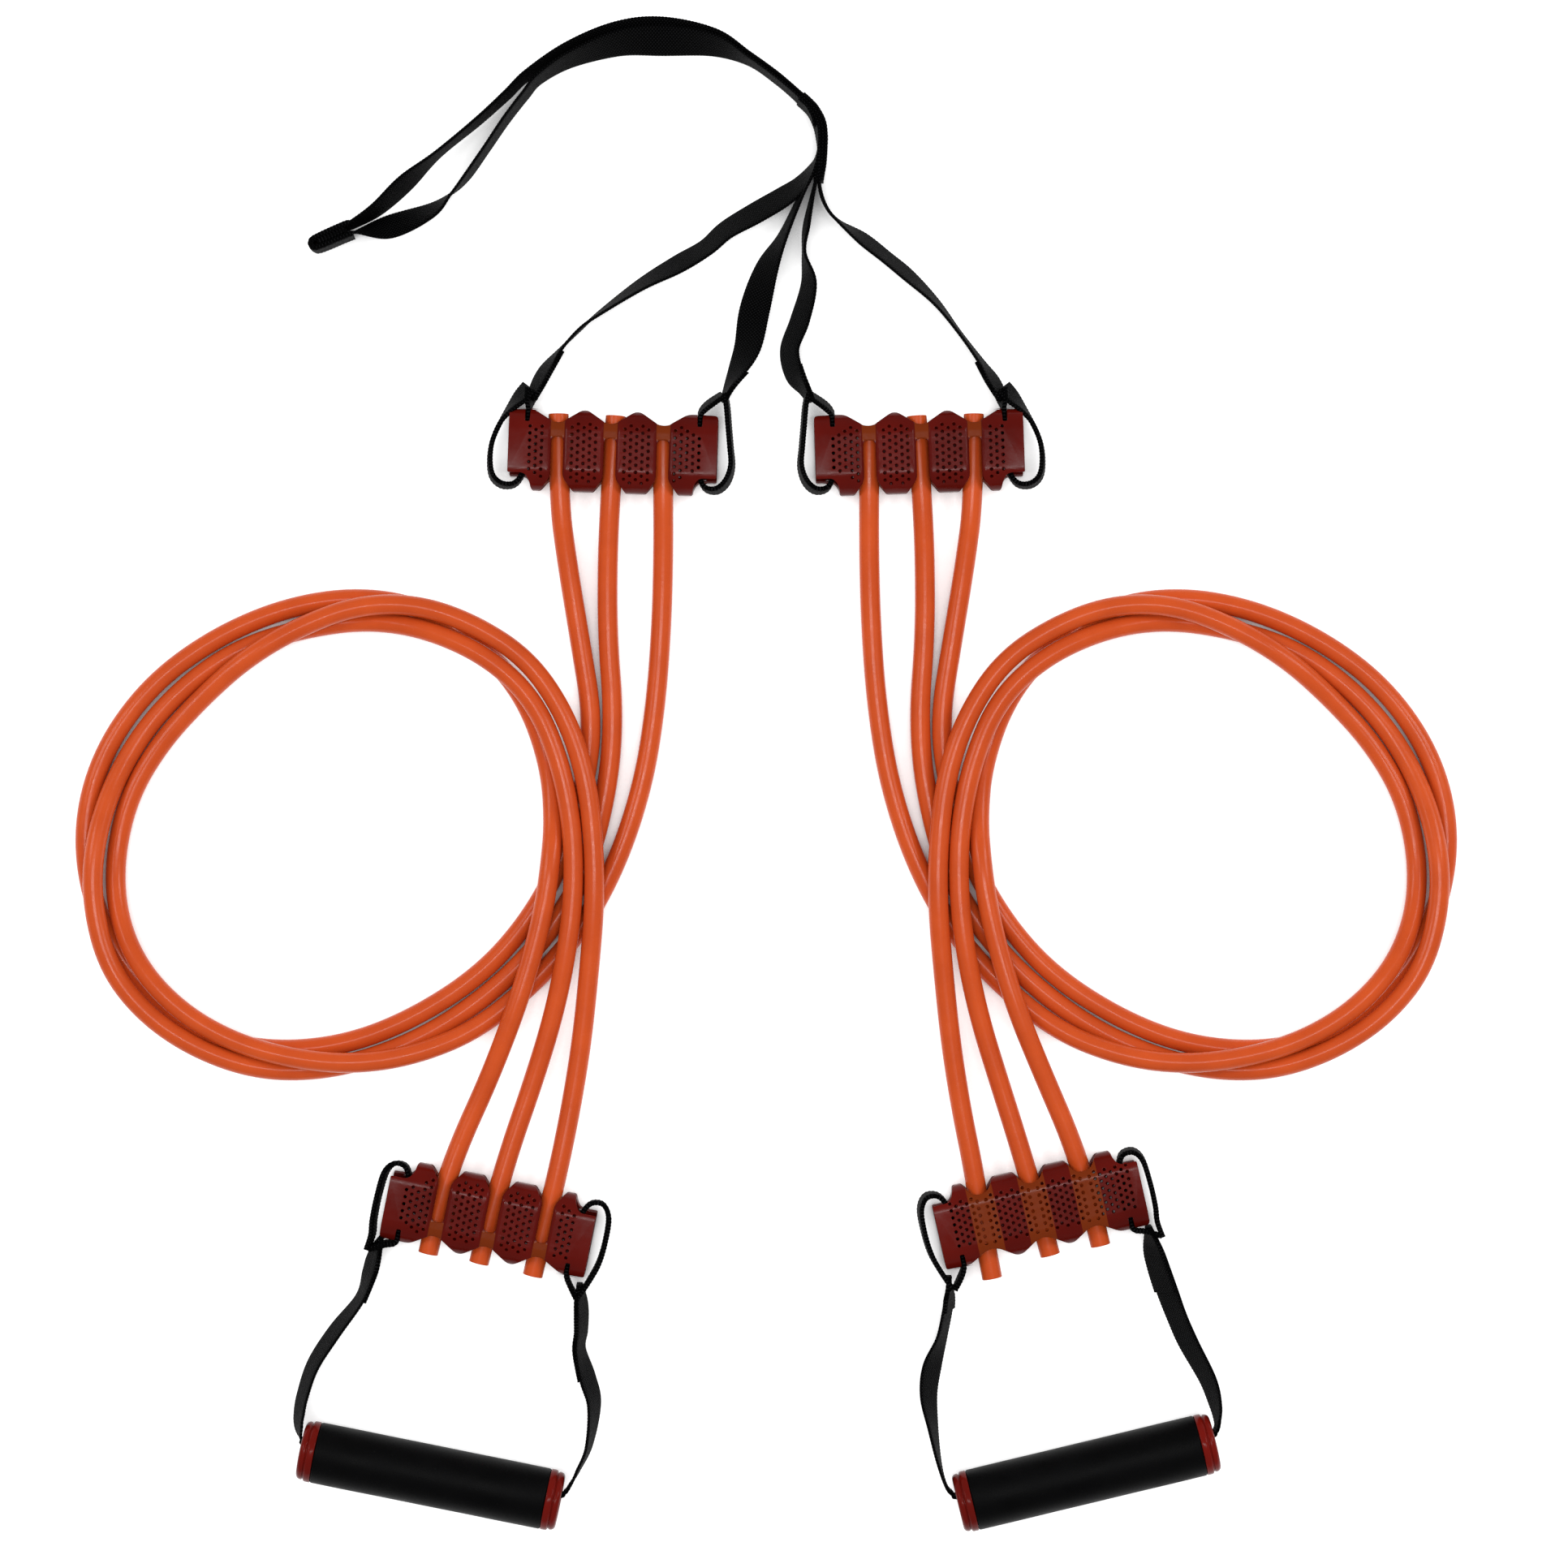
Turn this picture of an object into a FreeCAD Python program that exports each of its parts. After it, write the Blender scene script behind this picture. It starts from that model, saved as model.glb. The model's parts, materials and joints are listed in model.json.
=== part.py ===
import FreeCAD, Part
import Sketcher
import math
import os

# Resistance tube trainer, laid flat: a ribbed door strap that splits into four legs, four moulded
# pockets, two coils of three rubber tubes, and two webbing stirrups with foam grips.
# Lengths are millimetres.  X runs to the right, Y towards the door strap, Z up from the floor.

Vector = FreeCAD.Vector
doc = FreeCAD.newDocument("tube_trainer")

# ---- driving dimensions -------------------------------------------------------------------------
SIZES = {
    "tube_diameter": 10.4, "tube_bore": 6, "plug_length": 14,
    "webbing_width": 19, "webbing_thick": 1.8, "hitch_thick": 6.2, "cupped_width": 15.5,
    "notched_width": 12.4, "gathered_width": 13, "hinged_width": 9,
    "pocket_height": 43, "pocket_depth": 24, "pocket_wall": 2.4,
    "pocket_short_end": 52.4, "pocket_long_end": 55.2, "channel_pitch": 27.2,
    "slot_width": 6, "slot_reach": 6.4, "window_width": 3.2, "window_reach": 13.9, "window_inset": 9.4,
    "valley_reach": 14.3, "flare_reach": 15.3, "flare_half": 8.4,
    "notch_reach": 12.8, "back_notch_reach": 13.8, "notch_length": 12, "end_reach": 20.4,
    "foam_length": 121, "foam_diameter": 31.5, "core_diameter": 26, "core_bore": 22.4,
    "cap_bore": 20.6, "cap_ring": 3.4, "cap_groove": 0.9, "cap_lip": 3, "cap_spigot": 9,
    "lip_diameter": 29.4, "groove_diameter": 28,
    "stopper_length": 20.6, "stopper_thin": 9, "stopper_thick": 11.5,
    "mirror_line": 4.2, "pocket_tilt": 2, "left_tilt": 168.7, "right_tilt": 12.6,
}

sheet = doc.addObject("Spreadsheet::Sheet", "Sizes")
for row, (alias, value) in enumerate(SIZES.items(), start=1):
    sheet.set("A%d" % row, alias)
    sheet.set("B%d" % row, str(value))
    sheet.setAlias("B%d" % row, alias)
doc.recompute()


def size(alias):
    """The value of one named cell."""
    return float(sheet.get(alias))


# ---- layout -------------------------------------------------------------------------------------
HALF_DEPTH = size("pocket_depth") / 2
MIRROR = size("mirror_line")
UPPER_HOME = Vector(-76.2, 167.7, HALF_DEPTH)
LOWER_LEFT_HOME = Vector(-137.2, -228.4, HALF_DEPTH)
LOWER_RIGHT_HOME = Vector(143.9, -223.2, HALF_DEPTH)
GRIP_AXIS_HEIGHT = size("foam_diameter") / 2 + 0.1
LEFT_GRIP_HOME = Vector(-168.8, -360.6, GRIP_AXIS_HEIGHT)
RIGHT_GRIP_HOME = Vector(169.3, -359.1, GRIP_AXIS_HEIGHT)
LEFT_GRIP_TURN = -11.4
RIGHT_GRIP_TURN = 13.5


def turned(home, degrees, flipped=False):
    """A placement turned about Z, with the front face down if flipped."""
    rotation = FreeCAD.Rotation(Vector(0, 0, 1), degrees)
    if flipped:
        rotation = rotation.multiply(FreeCAD.Rotation(Vector(1, 0, 0), 180))
    return FreeCAD.Placement(home, rotation)


UPPER_LEFT = turned(UPPER_HOME, -size("pocket_tilt"))
UPPER_RIGHT = turned(Vector(2 * MIRROR - UPPER_HOME.x, UPPER_HOME.y, HALF_DEPTH), size("pocket_tilt"))
LOWER_LEFT = turned(LOWER_LEFT_HOME, size("left_tilt"))
LOWER_RIGHT = turned(LOWER_RIGHT_HOME, size("right_tilt"), flipped=True)


def mirrored(route):
    """A route on the other side of the trainer's mirror line."""
    return [(2 * MIRROR - point[0],) + tuple(point[1:]) for point in route]


# ---- sketch helpers -----------------------------------------------------------------------------
def new_body(label, placement):
    body = doc.addObject("PartDesign::Body", label)
    body.Label = label
    body.Placement = placement
    return body


def new_sketch(body, name, role, offset=Vector(0, 0, 0)):
    """A sketch on one of the body's own origin planes."""
    sketch = body.newObject("Sketcher::SketchObject", name)
    plane = [feature for feature in body.Origin.OriginFeatures if feature.Role == role][0]
    sketch.AttachmentSupport = [(plane, "")]
    sketch.MapMode = "FlatFace"
    sketch.AttachmentOffset = FreeCAD.Placement(offset, FreeCAD.Rotation())
    return sketch


def add_polygon(sketch, corners):
    """A closed outline of straight sides."""
    first = sketch.GeometryCount
    count = len(corners)
    for index, corner in enumerate(corners):
        after = corners[(index + 1) % count]
        start, end = Vector(corner[0], corner[1], 0), Vector(after[0], after[1], 0)
        sketch.addGeometry(Part.LineSegment(start, end))
    for index in range(count):
        follower = first + (index + 1) % count
        sketch.addConstraint(Sketcher.Constraint("Coincident", first + index, 2, follower, 1))


def add_oval(sketch, half_height, radius_cell, centre_cell):
    """An oval with straight faces: two arcs about centres on the first axis, joined by two lines."""
    radius = radius_cell[0]
    centre = half_height - radius
    up, down = math.pi / 2, -math.pi / 2
    right_circle = Part.Circle(Vector(centre, 0, 0), Vector(0, 0, 1), radius)
    left_circle = Part.Circle(Vector(-centre, 0, 0), Vector(0, 0, 1), radius)
    sketch.addGeometry(Part.ArcOfCircle(right_circle, down, up))
    sketch.addGeometry(Part.ArcOfCircle(left_circle, up, up + math.pi))
    sketch.addGeometry(Part.LineSegment(Vector(centre, radius, 0), Vector(-centre, radius, 0)))
    sketch.addGeometry(Part.LineSegment(Vector(-centre, -radius, 0), Vector(centre, -radius, 0)))
    for first, first_end, second, second_end in ((0, 2, 2, 1), (2, 2, 1, 1), (1, 2, 3, 1), (3, 2, 0, 1)):
        sketch.addConstraint(Sketcher.Constraint("Coincident", first, first_end, second, second_end))
    for arc, sign in ((0, 1), (1, -1)):
        sketch.addConstraint(Sketcher.Constraint("DistanceY", -1, 1, arc, 3, 0.0))
        reach = sketch.addConstraint(Sketcher.Constraint("DistanceX", -1, 1, arc, 3, sign * centre))
        radius_at = sketch.addConstraint(Sketcher.Constraint("Radius", arc, radius))
        sketch.setExpression("Constraints[%d]" % reach, ("" if sign > 0 else "-1 * ") + centre_cell)
        sketch.setExpression("Constraints[%d]" % radius_at, radius_cell[1])


def cut_through(body, sketch, name, both_ways=True, upward=False):
    """Cut a sketch out of a body, right through or from the middle plane to one face."""
    pocket = body.newObject("PartDesign::Pocket", name)
    pocket.Profile = sketch
    pocket.Type = "ThroughAll"
    pocket.Midplane = both_ways
    pocket.Reversed = upward
    return pocket


# ---- pockets ------------------------------------------------------------------------------------
def strap_edge(hand):
    """What is cut away above the strap edge: tents between the channels, flat ends with a slant."""
    pitch = size("channel_pitch")
    valley = size("valley_reach")
    half_slot = size("slot_width") / 2
    top = size("pocket_height") / 2
    flat = size("end_reach")
    short, long_end = size("pocket_short_end"), size("pocket_long_end")
    corners = [(-short - 5, top + 5), (-short - 5, flat - 3), (-short, flat - 2.2), (-short + 1.2, flat)]
    corners += [(-pitch - 13, flat + 0.2), (-pitch - 3.4, valley + 0.6), (-pitch + half_slot, valley)]
    for centre in (-pitch / 2, pitch / 2):
        corners += [(centre - pitch / 2 + half_slot + 1.2, valley + 1), (centre - 2, top - 0.6)]
        corners += [(centre, top), (centre + 2, top - 0.6)]
        corners.append((centre + pitch / 2 - half_slot - 1.2, valley + 1))
        corners += [(centre + pitch / 2 + half_slot, valley)]
    corners += [(pitch + 3.4, valley + 0.6), (pitch + 13, flat + 0.2), (long_end - 2, flat)]
    corners += [(long_end, flat - 2.4), (long_end + 5, flat - 3), (long_end + 5, top + 5)]
    return [(hand * x, y) for x, y in corners]


def tube_edge(hand):
    """What is cut away below the tube edge: a flare at each channel and a notch at each end."""
    pitch = size("channel_pitch")
    reach = -size("flare_reach")
    half_slot = size("slot_width") / 2
    flare = size("flare_half")
    bottom = -size("pocket_height") / 2
    notch = -size("back_notch_reach")
    length = size("notch_length")
    short, long_end = size("pocket_short_end"), size("pocket_long_end")
    corners = [(-short - 5, bottom - 5), (-short - 5, notch), (-short + length - 1.5, notch)]
    corners += [(-short + length, notch - 1.5), (-short + length + 0.6, bottom + 1.5)]
    corners += [(-short + length + 2, bottom)]
    for centre in (-pitch, 0, pitch):
        corners += [(centre - flare, bottom), (centre - half_slot, reach)]
        corners += [(centre + half_slot, reach), (centre + flare, bottom)]
    corners += [(long_end - length - 2.4, bottom), (long_end - length - 0.6, bottom + 1.5)]
    corners += [(long_end - length, notch - 1.5), (long_end - length + 1.5, notch)]
    corners += [(long_end + 5, notch), (long_end + 5, bottom - 5)]
    return [(hand * x, y) for x, y in corners]


def pocket(label, placement, hand=1):
    """One moulded pocket: an oval sleeve, open at both ends, with three tube channels."""
    body = new_body(label, placement)
    short, long_end = size("pocket_short_end"), size("pocket_long_end")
    near = -short if hand > 0 else -long_end
    outside = new_sketch(body, label + "_outside", "YZ_Plane", Vector(0, 0, near))
    half_height = size("pocket_height") / 2
    add_oval(outside, half_height, (HALF_DEPTH, "Sizes.pocket_depth / 2"),
             "(Sizes.pocket_height - Sizes.pocket_depth) / 2")
    sleeve = body.newObject("PartDesign::Pad", label + "_sleeve")
    sleeve.Profile = outside
    sleeve.setExpression("Length", "Sizes.pocket_short_end + Sizes.pocket_long_end")
    inside = new_sketch(body, label + "_inside", "YZ_Plane")
    wall = size("pocket_wall")
    add_oval(inside, half_height - wall,
             (HALF_DEPTH - wall, "Sizes.pocket_depth / 2 - Sizes.pocket_wall"),
             "(Sizes.pocket_height - Sizes.pocket_depth) / 2")
    cut_through(body, inside, label + "_hollow")

    edges = new_sketch(body, label + "_edges", "XY_Plane")
    add_polygon(edges, strap_edge(hand))
    add_polygon(edges, tube_edge(hand))
    cut_through(body, edges, label + "_edge_cuts")

    notches = new_sketch(body, label + "_notches", "XY_Plane")
    length = size("notch_length")
    for outer, inner in ((-short - 1, -short + length), (long_end - length, long_end + 1)):
        low, high = -half_height - 1, -size("notch_reach")
        near, far = hand * inner, hand * outer
        add_polygon(notches, [(far, low), (near, low), (near, high), (far, high)])
    cut_through(body, notches, label + "_front_notches", both_ways=False, upward=True)

    windows = new_sketch(body, label + "_windows", "XY_Plane")
    half_window = size("window_width") / 2
    inset = size("window_inset")
    for middle in (-short + inset, long_end - inset):
        sides = (hand * middle - half_window, hand * middle + half_window)
        low, high = size("window_reach"), half_height + 1
        add_polygon(windows, [(sides[0], low), (sides[1], low), (sides[1], high), (sides[0], high)])
    cut_through(body, windows, label + "_strap_windows")

    slots = new_sketch(body, label + "_slots", "XY_Plane")
    half_slot = size("slot_width") / 2
    for centre in (-size("channel_pitch"), 0, size("channel_pitch")):
        low, high = -half_height - 1, size("slot_reach")
        add_polygon(slots, [(centre - half_slot, low), (centre + half_slot, low),
                            (centre + half_slot, high), (centre - half_slot, high)])
    before = doc.recompute() and body.Shape.Volume
    body.Tip = cut_through(body, slots, label + "_front_slots", both_ways=False, upward=True)
    doc.recompute()
    if not body.Shape.Volume < before:
        raise ValueError(label + ": the slots cut nothing")
    return body


# ---- rubber tubes -------------------------------------------------------------------------------
# Each route runs from the cut end above an upper pocket, down through its channel, clockwise round
# the coil and into the lower pocket.  The left coil is written out; the right one mirrors it but
# for the last stretch into the turned pocket.
INNER_ROUTE = [
    (-103, 187, 13), (-103, 144, 13), (-99, 112, 8), (-92.5, 72, 5.3), (-85.6, 30, 5.3), (-89.5, -4, 5.3),
    (-101, -43, 5.3), (-119.5, -76, 5.3), (-144, -103, 5.3), (-178, -125, 5.3), (-212, -138.5, 5.3),
    (-248, -142.5, 5.3), (-281, -137, 5.3), (-309, -119, 5.3), (-333.6, -90, 5.3), (-347, -58, 5.3),
    (-349.5, -22, 5.3), (-339, 14, 5.3), (-315.6, 46.8, 5.3), (-283.4, 71, 5.3), (-246, 87.5, 5.3),
    (-207, 93.6, 5.3), (-171, 87, 5.3), (-138, 63, 5.3), (-119, 38, 5.3), (-108, 6, 5.3), (-105.5, -22, 9.5),
    (-107, -44, 15.6), (-110, -66, 16.2), (-116.5, -93, 16.4), (-126, -123, 16.9)]
MIDDLE_ROUTE = [
    (-73.5, 186, 13), (-76, 150, 13), (-78, 112, 8), (-78, 72, 5.3), (-74.8, 32, 5.3), (-77.5, -4, 5.3),
    (-87.5, -45, 5.3), (-104, -75.5, 5.3), (-130, -105, 5.3), (-162, -129, 5.3), (-195, -144.5, 5.3),
    (-228, -152.5, 5.4), (-260, -151.5, 10.8), (-291, -140, 15.6), (-317, -122, 16), (-335.5, -98, 16),
    (-343.6, -66, 16), (-342.9, -36.4, 15.6), (-334.5, -5, 9), (-318.5, 24, 5.3), (-295.6, 48.4, 5.3),
    (-267.6, 67, 5.3), (-235, 77, 5.3), (-202, 81.4, 5.6), (-170, 76.2, 13.4), (-138.5, 61.5, 16),
    (-115.5, 39.5, 16), (-102.5, 9, 16), (-95.6, -26, 16), (-95, -60, 16), (-99, -93, 16),
    (-106, -125, 13)]
OUTER_ROUTE = [
    (-49, 180, 13), (-49, 150, 13), (-49, 116, 8), (-50, 79, 5.3), (-53, 37, 5.3), (-59.5, -4, 5.3),
    (-73, -45, 5.3), (-91.5, -79, 5.3), (-116, -107, 5.3), (-146, -131.4, 8.8), (-178, -144, 15.4),
    (-209, -148.5, 16), (-241, -145.5, 16.2), (-271, -137, 16.2), (-298, -121.5, 16.2), (-319.5, -99, 15),
    (-331.4, -72, 9.5), (-333.4, -42, 5.3), (-326, -10, 5.3), (-310, 17, 5.3), (-288.2, 40.6, 8),
    (-264, 61.4, 15), (-237, 77.2, 16.4), (-207, 88.5, 16.4), (-176, 89, 16.4), (-146.9, 79, 16.2),
    (-119, 61, 16), (-100.4, 34, 16), (-88.9, 2, 16), (-84.6, -35, 16), (-84.4, -68, 16),
    (-87.4, -102, 13.4), (-91.2, -138, 12)]
LEFT_ENDS = {
    "inner": [(-139.4, -157, 13), (-153.6, -188, 12), (-163.2, -215, 13), (-170.4, -246, 13)],
    "middle": [(-116.6, -159, 11.5), (-127.4, -190, 12), (-136.2, -220, 13), (-144.2, -251, 13)],
    "outer": [(-97, -173, 11.8), (-103.6, -205, 13), (-110, -231, 13), (-116.4, -257.5, 13)]}
RIGHT_ENDS = {
    "inner": [(148.2, -156, 13), (161.2, -186, 11.5), (170, -213, 11), (177, -242, 11)],
    "middle": [(125, -159, 11.5), (134.5, -189, 11.5), (143, -218, 11), (151, -247, 11)],
    "outer": [(105, -172, 11.5), (111.4, -203, 11.5), (115.5, -231, 11), (121, -259, 11)]}


def tube_route(strand, side):
    """The hand-placed points of one tube."""
    coil = {"inner": INNER_ROUTE, "middle": MIDDLE_ROUTE, "outer": OUTER_ROUTE}[strand]
    if side == "left":
        return coil + LEFT_ENDS[strand]
    return mirrored(coil) + RIGHT_ENDS[strand]


def smooth_path(points):
    """Straight runs joined by tangent arcs, each arc taking 0.45 of its shorter run."""
    places = [Vector(*point) for point in points]
    edges = []
    radii = []
    start = places[0]
    for before, corner, after in zip(places, places[1:], places[2:]):
        arriving = (corner - before).normalize()
        leaving = (after - corner).normalize()
        turn = arriving.getAngle(leaving)
        reach = 0.45 * min((corner - before).Length, (after - corner).Length)
        radii.append(reach / math.tan(turn / 2))
        arc_start = corner - arriving * reach
        arc_end = corner + leaving * reach
        inward = (leaving - arriving).normalize()
        middle = corner + inward * radii[-1] * (1 / math.cos(turn / 2) - 1)
        edges.append(Part.LineSegment(start, arc_start).toShape())
        edges.append(Part.Arc(arc_start, middle, arc_end).toShape())
        start = arc_end
    edges.append(Part.LineSegment(start, places[-1]).toShape())
    return Part.Wire(edges), radii


def end_cylinder(tip, towards, diameter, length):
    """A cylinder from a cut end into the tube."""
    return Part.makeCylinder(diameter / 2, length, tip, towards - tip)


def rubber_tube(label, route):
    """A round tube along a route, bored at each end for its plug."""
    path, radii = smooth_path(route)
    start, second = Vector(*route[0]), Vector(*route[1])
    section = Part.Wire(Part.makeCircle(size("tube_diameter") / 2, start, second - start))
    solid = path.makePipeShell([section], True, False)
    expected = math.pi * size("tube_diameter") ** 2 / 4 * path.Length
    print("%s: length %.0f, smallest arc %.0f, volume ratio %.4f"
          % (label, path.Length, min(radii), solid.Volume / expected))
    for tip, towards in ((start, second), (Vector(*route[-1]), Vector(*route[-2]))):
        solid = solid.cut(end_cylinder(tip, towards, size("tube_bore"), size("plug_length")))
    feature = doc.addObject("Part::Feature", label)
    feature.Label = label
    feature.Shape = solid
    return feature


def tube_plugs(label, ends):
    """The three plugs pressed into the tube ends of one pocket."""
    plugs = [end_cylinder(Vector(*tip), Vector(*towards), size("tube_bore"), size("plug_length"))
             for tip, towards in ends]
    feature = doc.addObject("Part::Feature", label)
    feature.Label = label
    feature.Shape = Part.makeCompound(plugs)
    return feature


# ---- webbing ------------------------------------------------------------------------------------
def band(label, stations, thickness, placement=None):
    """Flat webbing through stations (x, y, z, lean, width); lean 0 stands the webbing on edge."""
    places = [Vector(*station[:3]) for station in stations]
    sections = []
    for index, (place, station) in enumerate(zip(places, stations)):
        before, after = places[max(index - 1, 0)], places[min(index + 1, len(places) - 1)]
        along = (after - before).normalize()
        sideways = Vector(0, 0, 1).cross(along).normalize()
        upright = along.cross(sideways)
        lean = math.radians(station[3])
        across = (upright * math.cos(lean) + sideways * math.sin(lean)) * station[4] / 2
        through = (sideways * math.cos(lean) - upright * math.sin(lean)) * thickness / 2
        corners = [place + across + through, place + across - through,
                   place - across - through, place - across + through]
        sections.append(Part.makePolygon(corners + corners[:1]))
    feature = doc.addObject("Part::Feature", label)
    feature.Label = label
    feature.Shape = Part.makeLoft(sections, True, True)
    if placement:
        feature.Placement = placement
    return feature


WIDE = size("webbing_width")
CUPPED = size("cupped_width")
NOTCHED = size("notched_width")
GATHERED = size("gathered_width")
HINGED = size("hinged_width")
THICK = size("webbing_thick")
HINGE_Y = 199

# Door strap: a sewn stopper, two plies laid together over an arc, a twisted hitch and four legs.
STOPPER = [(-230.2, 273.8), (-211.9, 282.6)]
UPPER_PLY = [
    (-211.2, 284.6, 9.8, 4, WIDE), (-197, 293.6, 9.8, 12, WIDE), (-182.5, 307, 8, 42, WIDE),
    (-165.5, 322, 9, 28, WIDE), (-144.5, 339.3, 9.8, 6, WIDE), (-130, 352.5, 9.8, 5, WIDE),
    (-119, 363, 9.8, 6, WIDE), (-98.3, 376, 9.6, 14, WIDE), (-73, 385, 8.6, 32, WIDE),
    (-50, 386.4, 8, 42, WIDE), (-22.7, 383.2, 8.8, 30, WIDE), (-3.6, 374, 9.6, 14, WIDE),
    (11, 363.2, 9.8, 6, WIDE), (24, 352.5, 9.9, 3, WIDE), (28.6, 347.4, 9.9, 0, WIDE)]
LOWER_PLY = [
    (-210.4, 281.4, 9.8, -4, WIDE), (-190.7, 284.5, 9, -26, WIDE), (-169.7, 292.5, 9.4, -18, WIDE),
    (-159.2, 301, 9.8, -8, WIDE), (-150.5, 310.5, 9.8, 3, WIDE), (-140, 325.5, 9.8, 4, WIDE),
    (-130.5, 339.5, 9.8, 5, WIDE), (-120.5, 352.5, 9.8, 6, WIDE), (-113, 361.6, 9.8, 6, WIDE),
    (-96.4, 371.6, 9.6, 14, WIDE), (-72, 380, 8.6, 32, WIDE), (-50, 381.4, 8, 42, WIDE),
    (-24, 378.4, 8.8, 30, WIDE), (-6, 369.8, 9.6, 14, WIDE), (8.2, 359.4, 9.8, 6, WIDE),
    (21, 348.8, 9.9, 3, WIDE), (26, 344.4, 9.9, 0, WIDE)]
HITCH = [
    (28.9, 343.4, 9.9, 0, WIDE), (31.5, 336, 9.9, 3, 18), (31.4, 329.7, 9.6, -4, 17),
    (31, 325, 9.6, 4, 17), (30.4, 315.4, 9.9, 0, WIDE)]
LEGS = {
    "leg_far_left": [
        (26.2, 313.4, 9.9, 0, WIDE), (20, 305.4, 9.4, 22, WIDE), (13, 299.6, 8, 44, WIDE),
        (-1.7, 291, 7.6, 46, WIDE), (-16.4, 282.4, 8.4, 38, WIDE), (-27, 273, 9, 28, WIDE),
        (-41.6, 265, 8.6, 32, WIDE),
        (-60.5, 254.5, 9.2, 22, WIDE), (-81.5, 240, 9.8, 10, WIDE), (-92, 231.5, 9.8, 4, WIDE),
        (-102.5, 220.5, 10.2, 5, WIDE), (-110, 211, 11, 3, 15), (-114.5, 204, 11.6, 0, GATHERED),
        (-117.6, HINGE_Y, 12, 0, GATHERED)],
    "leg_near_left": [
        (29, 313, 9.9, 0, WIDE), (21.6, 299, 9.8, 6, WIDE), (13, 280, 9.8, 12, WIDE),
        (4.6, 263, 9, 30, WIDE), (-1.7, 242, 7.6, 48, WIDE), (-5.2, 223, 9.2, 22, WIDE),
        (-11, 209.5, 10.6, 6, 15), (-15, 203, 11.6, 0, GATHERED), (-17, HINGE_Y, 12, 0, GATHERED)],
    "leg_near_right": [
        (31.2, 313, 9.9, 0, WIDE), (28.2, 301, 9.9, 4, WIDE), (25, 284.5, 9.8, 8, WIDE),
        (23.8, 270.5, 9.9, 3, WIDE), (26.2, 254.8, 9.2, 22, WIDE), (21.6, 236, 9, 28, WIDE),
        (16.4, 221.4, 9.4, 18, WIDE), (19, 209, 10.6, 4, 15), (23, 203.4, 11.6, 0, GATHERED),
        (25.4, HINGE_Y, 12, 0, GATHERED)],
    "leg_far_right": [
        (33.6, 313.4, 9.9, 0, WIDE), (33.8, 303, 9.9, 0, WIDE), (36.6, 293.8, 9.9, -3, WIDE),
        (42.6, 286.4, 9.9, -8, WIDE), (54.2, 278.2, 9.2, -24, WIDE), (66.4, 268.6, 9.2, -24, WIDE),
        (78, 259, 9.2, -24, WIDE), (92, 245.4, 9.6, -14, WIDE), (103.6, 230.4, 9.8, -10, WIDE),
        (115, 215, 10.4, -6, WIDE), (121, 207, 11.2, -3, 15),
        (124, 203, 11.7, 0, GATHERED), (126, HINGE_Y, 12, 0, GATHERED)]}

# Stirrups: from one end loop, down, through the grip and up to the other end loop.
LEFT_STIRRUP = [
    (-197.8, -245.4, 12, 0, HINGED), (-199, -250, 11.8, 0, NOTCHED), (-201.5, -257, 11, 4, 15),
    (-206, -270, 10, 8, WIDE), (-219, -287, 9.8, 16, WIDE), (-230, -304, 9.8, 18, WIDE),
    (-235.6, -320, 11.4, 14, WIDE), (-237.6, -330, 13.4, 8, WIDE), (-237.4, -336.5, 15, 3, 17),
    (-236.2, -341.4, 15.7, 0, 16), (-232.6, -344, 15.8, 0, 16), (-207.4, -349.8, 15.8, 0, 16),
    (-129, -365.6, 15.8, 0, 16), (-103.6, -370.3, 15.8, 0, 16), (-99.4, -368.9, 15.8, 0, 16),
    (-97, -365.6, 15.4, 0, 17), (-93, -358.3, 14.2, 4, WIDE), (-87.4, -345.7, 12.4, 6, WIDE),
    (-84.8, -325, 10.4, 14, WIDE), (-88.2, -311, 9.8, 20, WIDE), (-92.6, -296.5, 9.8, 8, WIDE),
    (-91.2, -287, 9.9, -8, 17), (-91, -277.5, 11, -3, 15), (-91.3, -271, 11.8, 0, NOTCHED),
    (-91.6, -264.6, 12, 0, HINGED)]
RIGHT_STIRRUP = [
    (98, -263.8, 12, 0, HINGED), (98.2, -269, 11.8, 0, NOTCHED), (97.8, -276, 11, -4, 15),
    (94.9, -290, 10, -12, WIDE), (90, -305, 9.4, -26, WIDE), (88.2, -320, 9.8, -24, WIDE),
    (90.4, -337, 12, -14, WIDE), (93.4, -354, 14, -4, WIDE), (96.6, -365, 15.4, 0, 17),
    (99.8, -369.4, 15.8, 0, 16), (104, -370.9, 15.8, 0, 16), (129.7, -365.5, 15.8, 0, 16),
    (207.5, -346.9, 15.8, 0, 16), (232.4, -340.2, 15.8, 0, 16), (235.9, -337.6, 15.8, 0, 16),
    (237.2, -333, 15.2, -3, 17), (236.6, -325.5, 13.4, -14, WIDE), (232.6, -312, 11, -24, WIDE),
    (222.6, -293, 9.6, -26, WIDE), (218, -279.4, 9.8, -16, WIDE), (213.4, -268, 10, -10, WIDE),
    (208.6, -256, 10.8, -4, 15), (204.4, -243.6, 11.8, 0, NOTCHED), (202.8, -237.8, 12, 0, HINGED)]

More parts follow.
